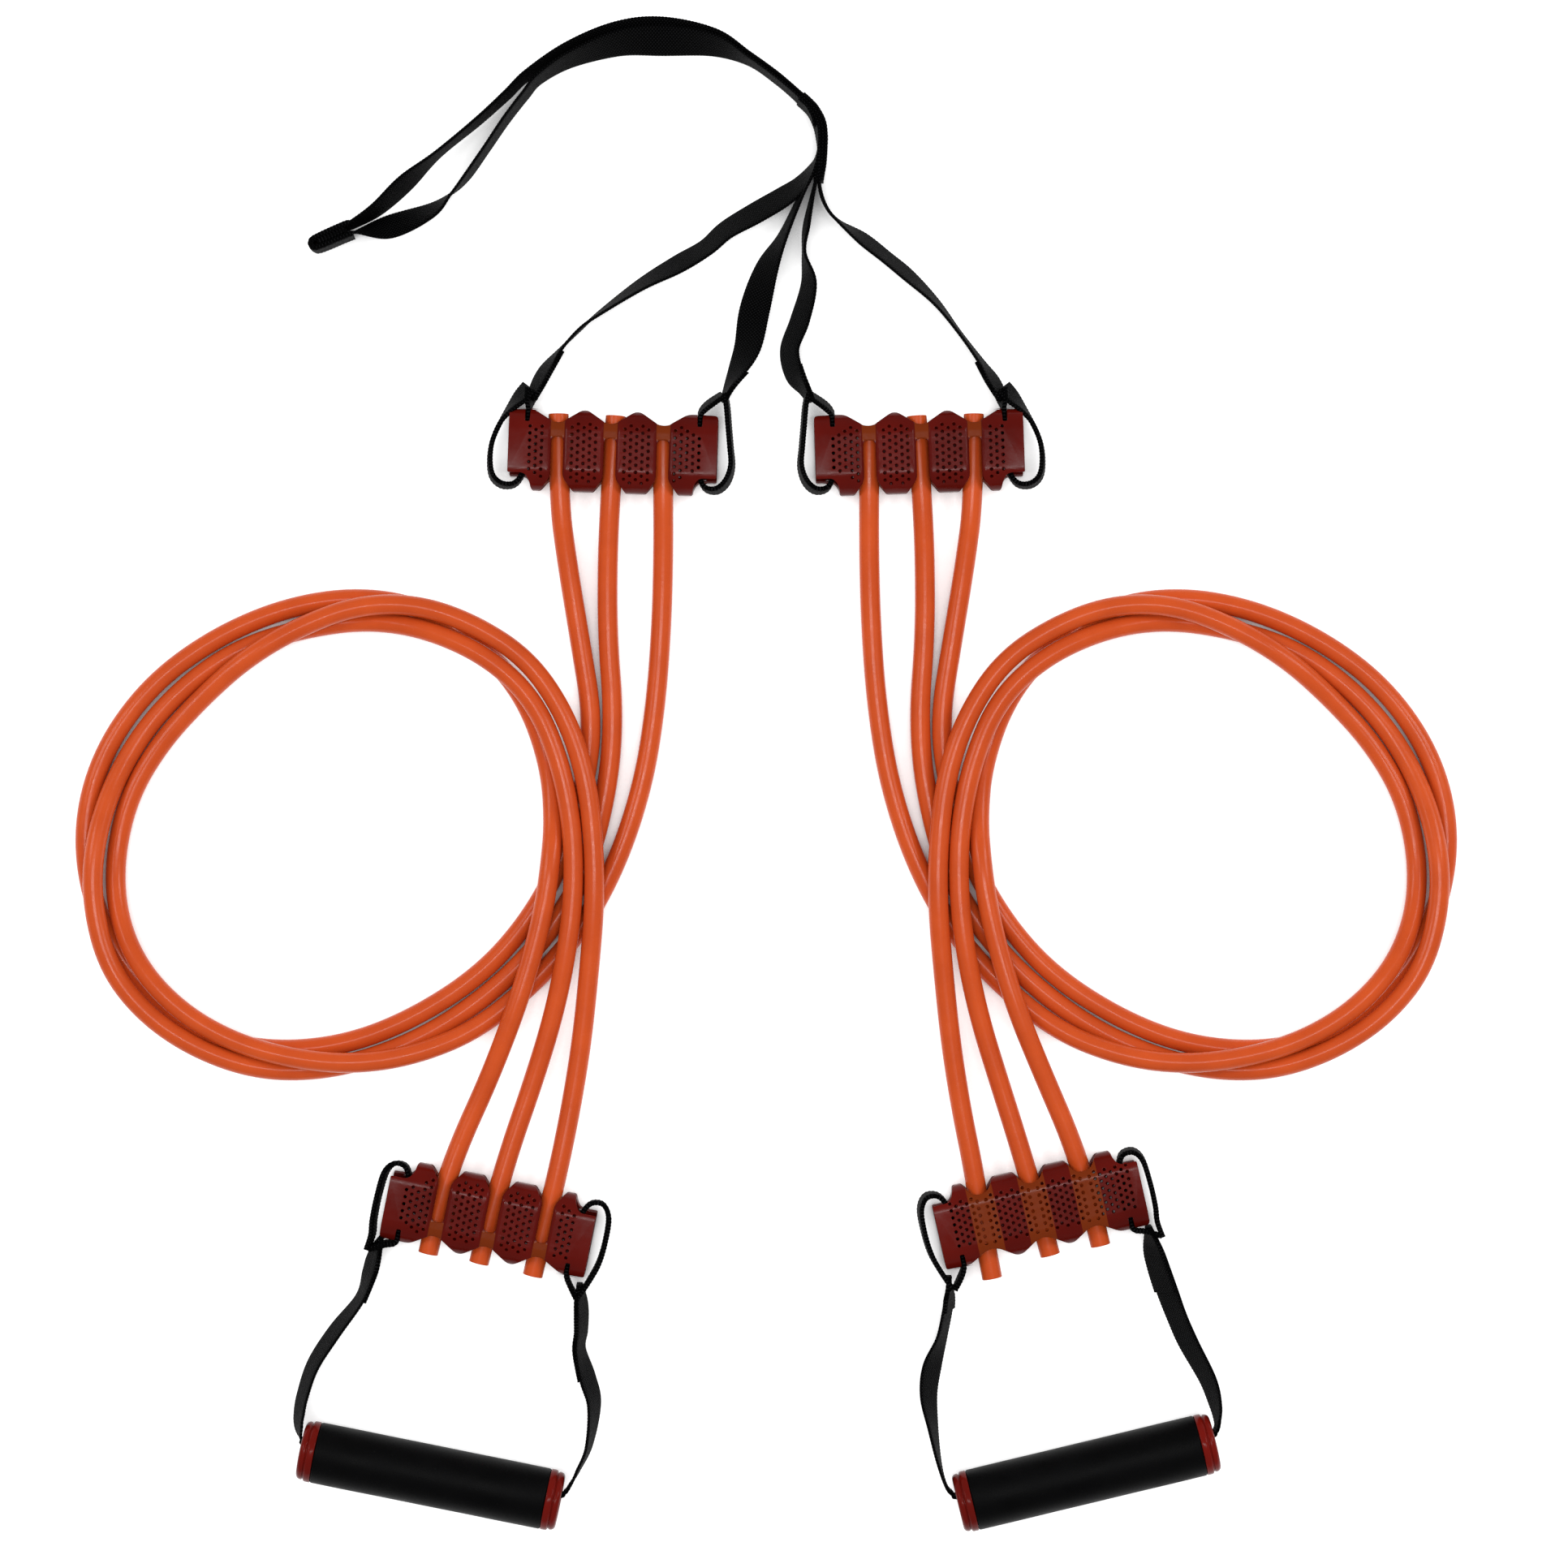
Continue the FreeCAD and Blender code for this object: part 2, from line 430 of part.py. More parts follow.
# End loops, in their pocket's own frame: along the pocket, towards the strap edge, from mid-depth.
# Each goes in at the window, down inside, out at the notch, round the end and back up.
UPPER_SHORT_LOOP = [
    (-43, 21.6), (-43, 14), (-43.4, 4), (-44, -7), (-46, -14.6), (-50, -18.6), (-56, -18.6),
    (-60.6, -14.6), (-62.2, -7), (-61.4, 3), (-59, 13), (-54.8, 20.6), (-50, 25)]
UPPER_LONG_LOOP = [
    (49, 25.4), (46, 22), (45.8, 14), (45.6, 4), (46, -7), (47.4, -14), (50.6, -17.6),
    (56, -17.6), (60.6, -13), (62.8, -5), (61.8, 5), (60.8, 15), (59.6, 25.2)]
LOWER_LONG_LOOP = [
    (49.4, 24.4), (46, 21.4), (45.8, 12), (45.6, 4), (46, -7), (47, -14.2), (50, -18.2),
    (56, -18), (59.4, -11.5), (60.4, 0), (60.4, 12), (58.6, 19.4)]
LOWER_SHORT_LOOP = [
    (-46.2, 24.4), (-43.4, 21.6), (-43, 12), (-43.4, 4), (-44, -7), (-46, -14.6), (-49.6, -18.4),
    (-55, -18.2), (-58.8, -12), (-59, 0), (-57.6, 11), (-54.4, 19.4)]


def end_loop(label, route, placement, hand=1):
    """One sewn loop of webbing through a pocket's end, squeezed narrower where it leaves the notch."""
    stations = [(hand * along, across, 0, 0, NOTCHED if across < -10 and abs(along) < 52 else CUPPED)
                for along, across in route]
    return band(label, stations, THICK, placement)


# ---- grips --------------------------------------------------------------------------------------
def ring_piece(label, placement, outer, inner, length):
    """A round sleeve centred on its axis, which runs along X."""
    body = new_body(label, placement)
    sketch = new_sketch(body, label + "_rings", "YZ_Plane")
    for cell in (outer, inner):
        sketch.addGeometry(Part.Circle(Vector(0, 0, 0), Vector(0, 0, 1), size(cell) / 2))
        ring = sketch.GeometryCount - 1
        sketch.addConstraint(Sketcher.Constraint("Coincident", ring, 3, -1, 1))
        held = sketch.addConstraint(Sketcher.Constraint("Diameter", ring, size(cell)))
        sketch.setExpression("Constraints[%d]" % held, "Sizes." + cell)
    pad = body.newObject("PartDesign::Pad", label + "_sleeve")
    pad.Profile = sketch
    pad.Midplane = True
    pad.setExpression("Length", "Sizes." + length)
    body.Tip = pad
    return body


def end_cap(label, home, turn, side):
    """A moulded cap: a spigot in the core, a ring flush with the foam, a groove and a rolled lip."""
    placement = turned(home, turn if side > 0 else turn + 180)
    body = new_body(label, placement)
    inner = size("foam_length") / 2
    ring_end = inner + size("cap_ring")
    groove_end = ring_end + size("cap_groove")
    outer = groove_end + size("cap_lip")
    bore, lip = size("cap_bore") / 2, size("lip_diameter") / 2
    core, ring, groove = size("core_bore") / 2, size("foam_diameter") / 2, size("groove_diameter") / 2
    spigot = inner - size("cap_spigot")
    profile = [(spigot, bore), (spigot, core), (inner, core), (inner, ring - 0.2), (inner + 0.4, ring + 0.1),
               (ring_end - 1.2, ring), (ring_end, groove + 0.5), (ring_end, groove), (groove_end, groove),
               (groove_end, lip - 0.5), (groove_end + 0.7, lip), (outer - 1, lip - 0.3), (outer, lip - 1.5),
               (outer, bore + 2.4), (outer - 1.4, bore + 0.8), (groove_end - 0.6, bore)]
    sketch = new_sketch(body, label + "_profile", "XY_Plane")
    add_polygon(sketch, profile)
    turned_solid = body.newObject("PartDesign::Revolution", label + "_turned")
    turned_solid.Profile = sketch
    turned_solid.ReferenceAxis = (sketch, ["H_Axis"])
    turned_solid.Angle = 360
    body.Tip = turned_solid
    return body


# ---- stopper ------------------------------------------------------------------------------------
def stopper(label):
    """The folded and sewn end of the door strap, thicker where the plies leave it."""
    start, end = Vector(*STOPPER[0]), Vector(*STOPPER[1])
    heading = math.degrees(math.atan2(end.y - start.y, end.x - start.x))
    body = new_body(label, turned(Vector(start.x, start.y, 0.2), heading))
    sketch = new_sketch(body, label + "_outline", "XY_Plane")
    length, thin, thick = size("stopper_length"), size("stopper_thin") / 2, size("stopper_thick") / 2
    add_polygon(sketch, [(0, 1.6 - thin), (1.6, -thin), (length * 0.7, -thin), (length, -thick),
                         (length, thick), (length * 0.7, thin), (1.6, thin), (0, thin - 1.6)])
    pad = body.newObject("PartDesign::Pad", label + "_pad")
    pad.Profile = sketch
    pad.setExpression("Length", "Sizes.webbing_width")
    body.Tip = pad
    return body


# ---- assembly -----------------------------------------------------------------------------------
parts = [
    pocket("upper_left_pocket", UPPER_LEFT), pocket("upper_right_pocket", UPPER_RIGHT, hand=-1),
    pocket("lower_left_pocket", LOWER_LEFT), pocket("lower_right_pocket", LOWER_RIGHT)]

for side in ("left", "right"):
    upper_ends = []
    lower_ends = []
    for strand in ("inner", "middle", "outer"):
        route = tube_route(strand, side)
        parts.append(rubber_tube("%s_tube_%s" % (side, strand), route))
        upper_ends.append((route[0], route[1]))
        lower_ends.append((route[-1], route[-2]))
    parts.append(tube_plugs("upper_%s_tube_plugs" % side, upper_ends))
    parts.append(tube_plugs("lower_%s_tube_plugs" % side, lower_ends))

parts += [
    end_loop("upper_left_outer_loop", UPPER_SHORT_LOOP, UPPER_LEFT),
    end_loop("upper_left_inner_loop", UPPER_LONG_LOOP, UPPER_LEFT),
    end_loop("upper_right_outer_loop", UPPER_SHORT_LOOP, UPPER_RIGHT, hand=-1),
    end_loop("upper_right_inner_loop", UPPER_LONG_LOOP, UPPER_RIGHT, hand=-1),
    end_loop("lower_left_outer_loop", LOWER_LONG_LOOP, LOWER_LEFT),
    end_loop("lower_left_inner_loop", LOWER_SHORT_LOOP, LOWER_LEFT),
    end_loop("lower_right_outer_loop", LOWER_LONG_LOOP, LOWER_RIGHT),
    end_loop("lower_right_inner_loop", LOWER_SHORT_LOOP, LOWER_RIGHT)]

parts += [stopper("strap_stopper"), band("door_strap_upper_ply", UPPER_PLY, THICK),
          band("door_strap_lower_ply", LOWER_PLY, THICK), band("strap_hitch", HITCH, size("hitch_thick"))]
parts += [band(name, stations, THICK) for name, stations in LEGS.items()]
parts += [band("left_stirrup_strap", LEFT_STIRRUP, THICK), band("right_stirrup_strap", RIGHT_STIRRUP, THICK)]

GRIPS = (("left", LEFT_GRIP_HOME, LEFT_GRIP_TURN, 1), ("right", RIGHT_GRIP_HOME, RIGHT_GRIP_TURN, -1))
for side, home, turn, inward in GRIPS:
    place = turned(home, turn)
    parts += [ring_piece(side + "_grip_foam", place, "foam_diameter", "core_diameter", "foam_length"),
              ring_piece(side + "_grip_core", place, "core_diameter", "core_bore", "foam_length"),
              end_cap(side + "_grip_cap_inner", home, turn, inward),
              end_cap(side + "_grip_cap_outer", home, turn, -inward)]

# ---- check and write ----------------------------------------------------------------------------
doc.recompute()
for item in doc.Objects:
    if "Invalid" in item.State or "Error" in item.State:
        raise ValueError("%s did not build: %s" % (item.Label, item.State))
for part in parts:
    if part.Shape.isNull() or not part.Shape.isValid() or part.Shape.Volume <= 0:
        raise ValueError(part.Label + " has no valid solid")

os.makedirs("parts", exist_ok=True)
for part in parts:
    part.Shape.exportStep("parts/%s.step" % part.Label)
print("%d parts written" % len(parts))
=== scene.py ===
import bmesh
import bpy
import json
import math
from mathutils import Matrix, Vector

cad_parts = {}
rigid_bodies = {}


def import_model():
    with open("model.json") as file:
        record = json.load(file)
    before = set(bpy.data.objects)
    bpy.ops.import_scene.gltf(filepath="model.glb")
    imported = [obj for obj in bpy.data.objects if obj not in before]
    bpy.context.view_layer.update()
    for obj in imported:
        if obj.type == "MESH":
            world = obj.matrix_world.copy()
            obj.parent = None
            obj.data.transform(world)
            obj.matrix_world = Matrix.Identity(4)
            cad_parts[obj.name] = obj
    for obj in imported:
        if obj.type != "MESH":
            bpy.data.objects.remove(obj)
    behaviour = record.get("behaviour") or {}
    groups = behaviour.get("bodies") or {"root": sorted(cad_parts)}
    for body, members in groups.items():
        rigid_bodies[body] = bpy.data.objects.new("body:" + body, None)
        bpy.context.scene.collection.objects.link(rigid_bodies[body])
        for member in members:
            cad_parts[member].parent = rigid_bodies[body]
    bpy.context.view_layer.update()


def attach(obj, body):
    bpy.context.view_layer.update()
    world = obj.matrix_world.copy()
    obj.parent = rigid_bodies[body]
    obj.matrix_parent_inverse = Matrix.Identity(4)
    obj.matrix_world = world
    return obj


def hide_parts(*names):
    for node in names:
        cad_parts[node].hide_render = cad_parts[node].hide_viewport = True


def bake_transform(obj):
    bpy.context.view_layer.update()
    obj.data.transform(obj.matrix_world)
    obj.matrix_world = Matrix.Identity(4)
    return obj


# Resistance tube trainer laid flat.  Shapes are written in millimetres and placed in metres.
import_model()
MM = 0.001
ROOT, ANCHOR = "pockets_and_tubes", "door_anchor_strap"
MIRROR = 4.2

# ---- camera -------------------------------------------------------------------------------------
PICTURE_WIDTH = 0.8114
CAMERA_HEIGHT = 2.6
SENSOR_WIDTH = 36
TUBE_TOP = 0.008
camera_data = bpy.data.cameras.new("camera")
camera_data.sensor_width = SENSOR_WIDTH
camera_data.lens = SENSOR_WIDTH * CAMERA_HEIGHT / PICTURE_WIDTH
camera = bpy.data.objects.new("camera", camera_data)
camera.location = (0.0134, -0.0038, CAMERA_HEIGHT + TUBE_TOP)
bpy.context.collection.objects.link(camera)
bpy.context.scene.camera = camera


# ---- node helpers -------------------------------------------------------------------------------
class Nodes:
    """A material and short calls that add nodes to it."""

    def __init__(self, name, colour, roughness, **sockets):
        self.material = bpy.data.materials.new(name)
        self.material.use_nodes = True
        self.tree = self.material.node_tree
        self.shader = self.tree.nodes["Principled BSDF"]
        self.shader.inputs["Base Color"].default_value = (*colour, 1)
        self.shader.inputs["Roughness"].default_value = roughness
        for socket, value in sockets.items():
            self.shader.inputs[socket.replace("_", " ")].default_value = value

    def put(self, value, socket):
        if hasattr(value, "is_output"):
            self.tree.links.new(value, socket)
        else:
            socket.default_value = value

    def math(self, operation, first, second=0.0, third=0.0):
        node = self.tree.nodes.new("ShaderNodeMath")
        node.operation = operation
        for value, socket in zip((first, second, third), node.inputs):
            self.put(value, socket)
        return node.outputs[0]

    def attribute(self, name):
        """The three parts of a vector stored on the mesh."""
        node = self.tree.nodes.new("ShaderNodeAttribute")
        node.attribute_name = name
        split = self.tree.nodes.new("ShaderNodeSeparateXYZ")
        self.tree.links.new(node.outputs["Vector"], split.inputs[0])
        return split.outputs

    def noise(self, scale, detail=3.0, roughness=0.55):
        """Noise in object space, so it stays with the piece."""
        coordinates = self.tree.nodes.new("ShaderNodeTexCoord").outputs["Object"]
        node = self.tree.nodes.new("ShaderNodeTexNoise")
        node.inputs["Scale"].default_value = scale
        node.inputs["Detail"].default_value = detail
        node.inputs["Roughness"].default_value = roughness
        self.tree.links.new(coordinates, node.inputs["Vector"])
        return node.outputs["Fac"]

    def spread(self, value, low, high, to_low=0.0, to_high=1.0):
        node = self.tree.nodes.new("ShaderNodeMapRange")
        for number, socket in zip((value, low, high, to_low, to_high), node.inputs):
            self.put(number, socket)
        return node.outputs[0]

    def mix(self, factor, first, second):
        node = self.tree.nodes.new("ShaderNodeMix")
        node.data_type = "RGBA"
        self.put(factor, node.inputs["Factor"])
        for value, socket in ((first, node.inputs[6]), (second, node.inputs[7])):
            self.put(value if hasattr(value, "is_output") else (*value, 1), socket)
        return node.outputs[2]

    def bump(self, height, strength, distance, under=None):
        node = self.tree.nodes.new("ShaderNodeBump")
        node.inputs["Strength"].default_value = strength
        node.inputs["Distance"].default_value = distance
        self.tree.links.new(height, node.inputs["Height"])
        if under:
            self.tree.links.new(under, node.inputs["Normal"])
        return node.outputs[0]

    def finish(self, colour=None, roughness=None, normal=None):
        for value, name in ((colour, "Base Color"), (roughness, "Roughness"), (normal, "Normal")):
            if value is not None:
                self.tree.links.new(value, self.shader.inputs[name])
        return self.material


# ---- materials ----------------------------------------------------------------------------------
RED_DEEP = (0.076, 0.0032, 0.0018)
RED_WARM = (0.116, 0.0052, 0.0028)
CAP_DEEP = (0.112, 0.0045, 0.0025)
CAP_WARM = (0.160, 0.0064, 0.0034)
TUBE_SHADE_BROWN = (0.165, 0.024, 0.003)
CHANNEL_PITCH = 27.2
BACK_STRIP, BRIDGE_STRIP, BRIDGE_FROM = 6.8, 3.6, 6.0
WARP_PITCH, WEFT_PITCH = 1.15, 1.7


def rubber_material():
    nodes = Nodes("tube_rubber", (0.58, 0.076, 0.014), 0.24, Specular_IOR_Level=0.15)
    cloud = nodes.spread(nodes.noise(38, 4), 0.35, 0.7)
    specks = nodes.spread(nodes.noise(900, 2), 0.66, 0.74)
    colour = nodes.mix(cloud, (0.53, 0.068, 0.012), (0.60, 0.082, 0.015))
    colour = nodes.mix(nodes.math("MULTIPLY", specks, 0.2), colour, (0.66, 0.16, 0.06))
    scuff = nodes.noise(160, 4, 0.7)
    normal = nodes.bump(nodes.noise(420, 3), 0.12, 0.0003)
    return nodes.finish(colour, nodes.spread(scuff, 0.3, 0.75, 0.17, 0.3), normal)


def plug_material():
    nodes = Nodes("plug_plastic", (0.30, 0.05, 0.015), 0.55, Specular_IOR_Level=0.2)
    mottle = nodes.spread(nodes.noise(300), 0.35, 0.7)
    colour = nodes.mix(mottle, (0.22, 0.035, 0.012), (0.34, 0.06, 0.018))
    return nodes.finish(colour, None, nodes.bump(nodes.noise(900), 0.2, 0.0002))


def red_plastic(name, deep, warm):
    nodes = Nodes(name, deep, 0.2, Specular_IOR_Level=0.075)
    colour = nodes.mix(nodes.spread(nodes.noise(24, 3), 0.32, 0.7), deep, warm)
    roughness = nodes.spread(nodes.noise(240, 4, 0.65), 0.3, 0.75, 0.15, 0.25)
    return nodes, colour, roughness


def cap_material():
    nodes, colour, roughness = red_plastic("cap_plastic", CAP_DEEP, CAP_WARM)
    return nodes.finish(colour, roughness, nodes.bump(nodes.noise(700), 0.08, 0.0002))


def pocket_material():
    """Red plastic painted brown where an orange tube lies behind it: the tube seen through the
    plastic, darkened as painted shade.
    """
    nodes, colour, roughness = red_plastic("pocket_plastic", RED_DEEP, RED_WARM)
    along, across, depth = nodes.attribute("pocket_mm")
    channel = nodes.math("ROUND", nodes.math("DIVIDE", along, CHANNEL_PITCH))
    nearest = nodes.math("MULTIPLY", channel, CHANNEL_PITCH)
    inner = nodes.math("LESS_THAN", nodes.math("ABSOLUTE", nearest), CHANNEL_PITCH + 1)
    away = nodes.math("ABSOLUTE", nodes.math("SUBTRACT", along, nearest))
    in_back = nodes.math("LESS_THAN", depth, 0.0)
    behind = nodes.math("MULTIPLY", nodes.math("LESS_THAN", away, BACK_STRIP), in_back)
    in_front = nodes.math("GREATER_THAN", depth, 0.0)
    bridge = nodes.math("MULTIPLY", nodes.math("LESS_THAN", away, BRIDGE_STRIP), in_front)
    bridge = nodes.math("MULTIPLY", bridge, nodes.math("GREATER_THAN", across, BRIDGE_FROM))
    # Painted shade: brown on the back wall behind each tube and on the bridge above each slot
    # stands for the tube seen through the plastic in shade.
    painted_tube_shade = nodes.math("MULTIPLY", nodes.math("ADD", behind, bridge), inner)
    colour = nodes.mix(nodes.math("MULTIPLY", painted_tube_shade, 0.92), colour, TUBE_SHADE_BROWN)
    return nodes.finish(colour, roughness, nodes.bump(nodes.noise(700), 0.07, 0.0002))


def webbing_material():
    """Black webbing: columns of warp knuckles, every other one half a step along, their crowns
    lighter as a painted highlight.
    """
    nodes = Nodes("webbing", (0.002, 0.002, 0.002), 0.5, Specular_IOR_Level=0.025)
    along, across, _ = nodes.attribute("strap_mm")
    column = nodes.math("DIVIDE", across, WARP_PITCH)
    parity = nodes.math("MODULO", nodes.math("ABSOLUTE", nodes.math("FLOOR", column)), 2.0)
    turns = nodes.math("ADD", nodes.math("MULTIPLY", along, 2 * math.pi / WEFT_PITCH),
                       nodes.math("MULTIPLY", parity, math.pi))
    knuckle = nodes.math("MULTIPLY_ADD", nodes.math("SINE", turns), 0.5, 0.5)
    yarn = nodes.math("ABSOLUTE", nodes.math("SINE", nodes.math("MULTIPLY", column, math.pi)))
    height = nodes.math("MULTIPLY", knuckle, nodes.math("MULTIPLY_ADD", yarn, 0.6, 0.4))
    fibres = nodes.noise(2600, 2, 0.6)
    # Painted highlight: the knuckle crowns are coloured lighter, standing in for light caught on
    # the raised yarn.
    painted_crown_highlight = nodes.spread(height, 0.55, 1.0)
    colour = nodes.mix(painted_crown_highlight, (0.0004, 0.0004, 0.0005), (0.012, 0.012, 0.013))
    lint = nodes.spread(nodes.noise(1400, 2), 0.68, 0.75)
    colour = nodes.mix(nodes.math("MULTIPLY", lint, 0.12), colour, (0.03, 0.03, 0.033))
    normal = nodes.bump(fibres, 0.25, 0.0002, nodes.bump(height, 0.9, 0.0007))
    return nodes.finish(colour, nodes.spread(fibres, 0.3, 0.7, 0.5, 0.75), normal)


def foam_material():
    nodes = Nodes("grip_foam", (0.0016, 0.0016, 0.0017), 0.42, Specular_IOR_Level=0.045)
    mottle = nodes.spread(nodes.noise(60, 4), 0.3, 0.75)
    colour = nodes.mix(mottle, (0.0007, 0.0007, 0.0008), (0.0016, 0.0016, 0.0018))
    dust = nodes.spread(nodes.noise(700, 2), 0.7, 0.78)
    colour = nodes.mix(nodes.math("MULTIPLY", dust, 0.15), colour, (0.03, 0.03, 0.03))
    pores = nodes.bump(nodes.noise(1800, 3, 0.7), 0.3, 0.0003)
    return nodes.finish(colour, nodes.spread(mottle, 0.0, 1.0, 0.4, 0.54), pores)


def core_material():
    nodes = Nodes("core_plastic", (0.01, 0.01, 0.011), 0.5, Specular_IOR_Level=0.2)
    colour = nodes.mix(nodes.noise(90), (0.008, 0.008, 0.009), (0.015, 0.015, 0.016))
    return nodes.finish(colour, None, nodes.bump(nodes.noise(500), 0.1, 0.0002))


MATERIALS = {
    "tube_rubber": rubber_material(), "plug_plastic": plug_material(),
    "cap_plastic": cap_material(), "pocket_plastic": pocket_material(),
    "webbing": webbing_material(), "grip_foam": foam_material(),
    "core_plastic": core_material()}


def dress(piece, slot):
    """Give a piece the material of its slot."""
    piece.data.materials.clear()
    piece.data.materials.append(MATERIALS[slot])
    return piece


# ---- tubes --------------------------------------------------------------------------------------
TUBE_RADIUS = 5.2
INNER_ROUTE = [
    (-103, 187, 13), (-103, 144, 13), (-99, 112, 8), (-92.5, 72, 5.3), (-85.6, 30, 5.3),
    (-89.5, -4, 5.3), (-101, -43, 5.3), (-119.5, -76, 5.3), (-144, -103, 5.3), (-178, -125, 5.3),
    (-212, -138.5, 5.3), (-248, -142.5, 5.3), (-281, -137, 5.3), (-309, -119, 5.3),
    (-333.6, -90, 5.3), (-347, -58, 5.3), (-349.5, -22, 5.3), (-339, 14, 5.3), (-315.6, 46.8, 5.3),
    (-283.4, 71, 5.3), (-246, 87.5, 5.3), (-207, 93.6, 5.3), (-171, 87, 5.3), (-138, 63, 5.3),
    (-119, 38, 5.3), (-108, 6, 5.3), (-105.5, -22, 9.5), (-107, -44, 15.6), (-110, -66, 16.2),
    (-116.5, -93, 16.4), (-126, -123, 16.9)]
MIDDLE_ROUTE = [
    (-73.5, 186, 13), (-76, 150, 13), (-78, 112, 8), (-78, 72, 5.3), (-74.8, 32, 5.3),
    (-77.5, -4, 5.3), (-87.5, -45, 5.3), (-104, -75.5, 5.3), (-130, -105, 5.3), (-162, -129, 5.3),
    (-195, -144.5, 5.3), (-228, -152.5, 5.4), (-260, -151.5, 10.8), (-291, -140, 15.6),
    (-317, -122, 16), (-335.5, -98, 16), (-343.6, -66, 16), (-342.9, -36.4, 15.6), (-334.5, -5, 9),
    (-318.5, 24, 5.3), (-295.6, 48.4, 5.3), (-267.6, 67, 5.3), (-235, 77, 5.3), (-202, 81.4, 5.6),
    (-170, 76.2, 13.4), (-138.5, 61.5, 16), (-115.5, 39.5, 16), (-102.5, 9, 16), (-95.6, -26, 16),
    (-95, -60, 16), (-99, -93, 16), (-106, -125, 13)]
OUTER_ROUTE = [
    (-49, 180, 13), (-49, 150, 13), (-49, 116, 8), (-50, 79, 5.3), (-53, 37, 5.3), (-59.5, -4, 5.3),
    (-73, -45, 5.3), (-91.5, -79, 5.3), (-116, -107, 5.3), (-146, -131.4, 8.8), (-178, -144, 15.4),
    (-209, -148.5, 16), (-241, -145.5, 16.2), (-271, -137, 16.2), (-298, -121.5, 16.2),
    (-319.5, -99, 15), (-331.4, -72, 9.5), (-333.4, -42, 5.3), (-326, -10, 5.3), (-310, 17, 5.3),
    (-288.2, 40.6, 8), (-264, 61.4, 15), (-237, 77.2, 16.4), (-207, 88.5, 16.4), (-176, 89, 16.4),
    (-146.9, 79, 16.2), (-119, 61, 16), (-100.4, 34, 16), (-88.9, 2, 16), (-84.6, -35, 16),
    (-84.4, -68, 16), (-87.4, -102, 13.4), (-91.2, -138, 12)]
LEFT_ENDS = {
    "inner": [(-139.4, -157, 13), (-153.6, -188, 12), (-163.2, -215, 13), (-170.4, -246, 13)],
    "middle": [(-116.6, -159, 11.5), (-127.4, -190, 12), (-136.2, -220, 13), (-144.2, -251, 13)],
    "outer": [(-97, -173, 11.8), (-103.6, -205, 13), (-110, -231, 13), (-116.4, -257.5, 13)]}
RIGHT_ENDS = {
    "inner": [(148.2, -156, 13), (161.2, -186, 11.5), (170, -213, 11), (177, -242, 11)],
    "middle": [(125, -159, 11.5), (134.5, -189, 11.5), (143, -218, 11), (151, -247, 11)],
    "outer": [(105, -172, 11.5), (111.4, -203, 11.5), (115.5, -231, 11), (121, -259, 11)]}
TUBE_RIM = [
    (0, 5.2), (0.22, 5.12), (0.34, 4.9), (0.36, 4.5), (0.36, 3.4), (0.26, 3.15), (0, 3.02),
    (-2.6, 3)]
PLUG_FACE = [(-1.9, 2.95), (-1.5, 2.75), (-1.35, 2.3), (-1.3, 1.5), (-1.5, 1.2), (-1.5, 0)]


def mirrored(route):
    return [(2 * MIRROR - point[0],) + tuple(point[1:]) for point in route]


def place(point):
    return Vector(point[:3]) * MM


def lathe(name, profile, home, axis, segments=48):
    """A profile of (along, radius) points turned about an axis through home."""
    turn = Vector((0, 0, 1)).rotation_difference(Vector(axis)).to_matrix()
    shape = bmesh.new()
    rings = []
    for along, radius in profile:
        count = segments if radius > 0 else 1
        ring = []
        for step in range(count):
            angle = 2 * math.pi * step / segments
            local = Vector((radius * math.cos(angle), radius * math.sin(angle), along))
            ring.append(shape.verts.new(Vector(home) * MM + (turn @ local) * MM))
        rings.append(ring)
    for lower, upper in zip(rings, rings[1:]):
        for step in range(segments):
            after = (step + 1) % segments
            if len(upper) == 1:
                shape.faces.new((lower[step], lower[after], upper[0]))
            else:
                shape.faces.new((lower[step], lower[after], upper[after], upper[step]))
    return finished(name, shape)


def finished(name, shape):
    """A smooth, linked object from a bmesh."""
    bmesh.ops.recalc_face_normals(shape, faces=shape.faces)
    mesh = bpy.data.meshes.new(name)
    shape.to_mesh(mesh)
    shape.free()
    mesh.polygons.foreach_set("use_smooth", [True] * len(mesh.polygons))
    piece = bpy.data.objects.new(name, mesh)
    bpy.context.collection.objects.link(piece)
    return piece


def tube(name, route):
    """A smooth round tube whose NURBS points are the route."""
    curve = bpy.data.curves.new(name, "CURVE")
    curve.dimensions = "3D"
    curve.resolution_u = 8
    curve.bevel_depth = TUBE_RADIUS * MM
    curve.bevel_resolution = 9
    spline = curve.splines.new("NURBS")
    spline.points.add(len(route) - 1)
    for control, point in zip(spline.points, route):
        control.co = (*place(point), 1)
    spline.order_u = 3
    spline.use_endpoint_u = True
    piece = bpy.data.objects.new(name, curve)
    bpy.context.collection.objects.link(piece)
    dress(piece, "tube_rubber")
    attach(piece, ROOT)
    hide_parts(name)
    return piece


plug_faces = {}
for side in ("left", "right"):
    for strand, coil in (("inner", INNER_ROUTE), ("middle", MIDDLE_ROUTE), ("outer", OUTER_ROUTE)):
        route = coil + LEFT_ENDS[strand] if side == "left" else mirrored(coil) + RIGHT_ENDS[strand]
        name = "%s_tube_%s" % (side, strand)
        piece = tube(name, route)
        rims = []
        for level, tip, before in (("upper", route[0], route[1]), ("lower", route[-1], route[-2])):
            outward = Vector(tip) - Vector(before)
            rim = lathe("%s_%s_rim" % (name, level), TUBE_RIM, tip, outward)
            face = lathe("%s_%s_plug" % (name, level), PLUG_FACE, tip, outward)
            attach(dress(rim, "tube_rubber"), ROOT)
            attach(dress(face, "plug_plastic"), ROOT)
            plug_faces.setdefault("%s_%s_tube_plugs" % (level, side), face)
            rims += [rim, face]
for node, face in plug_faces.items():
    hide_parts(node)

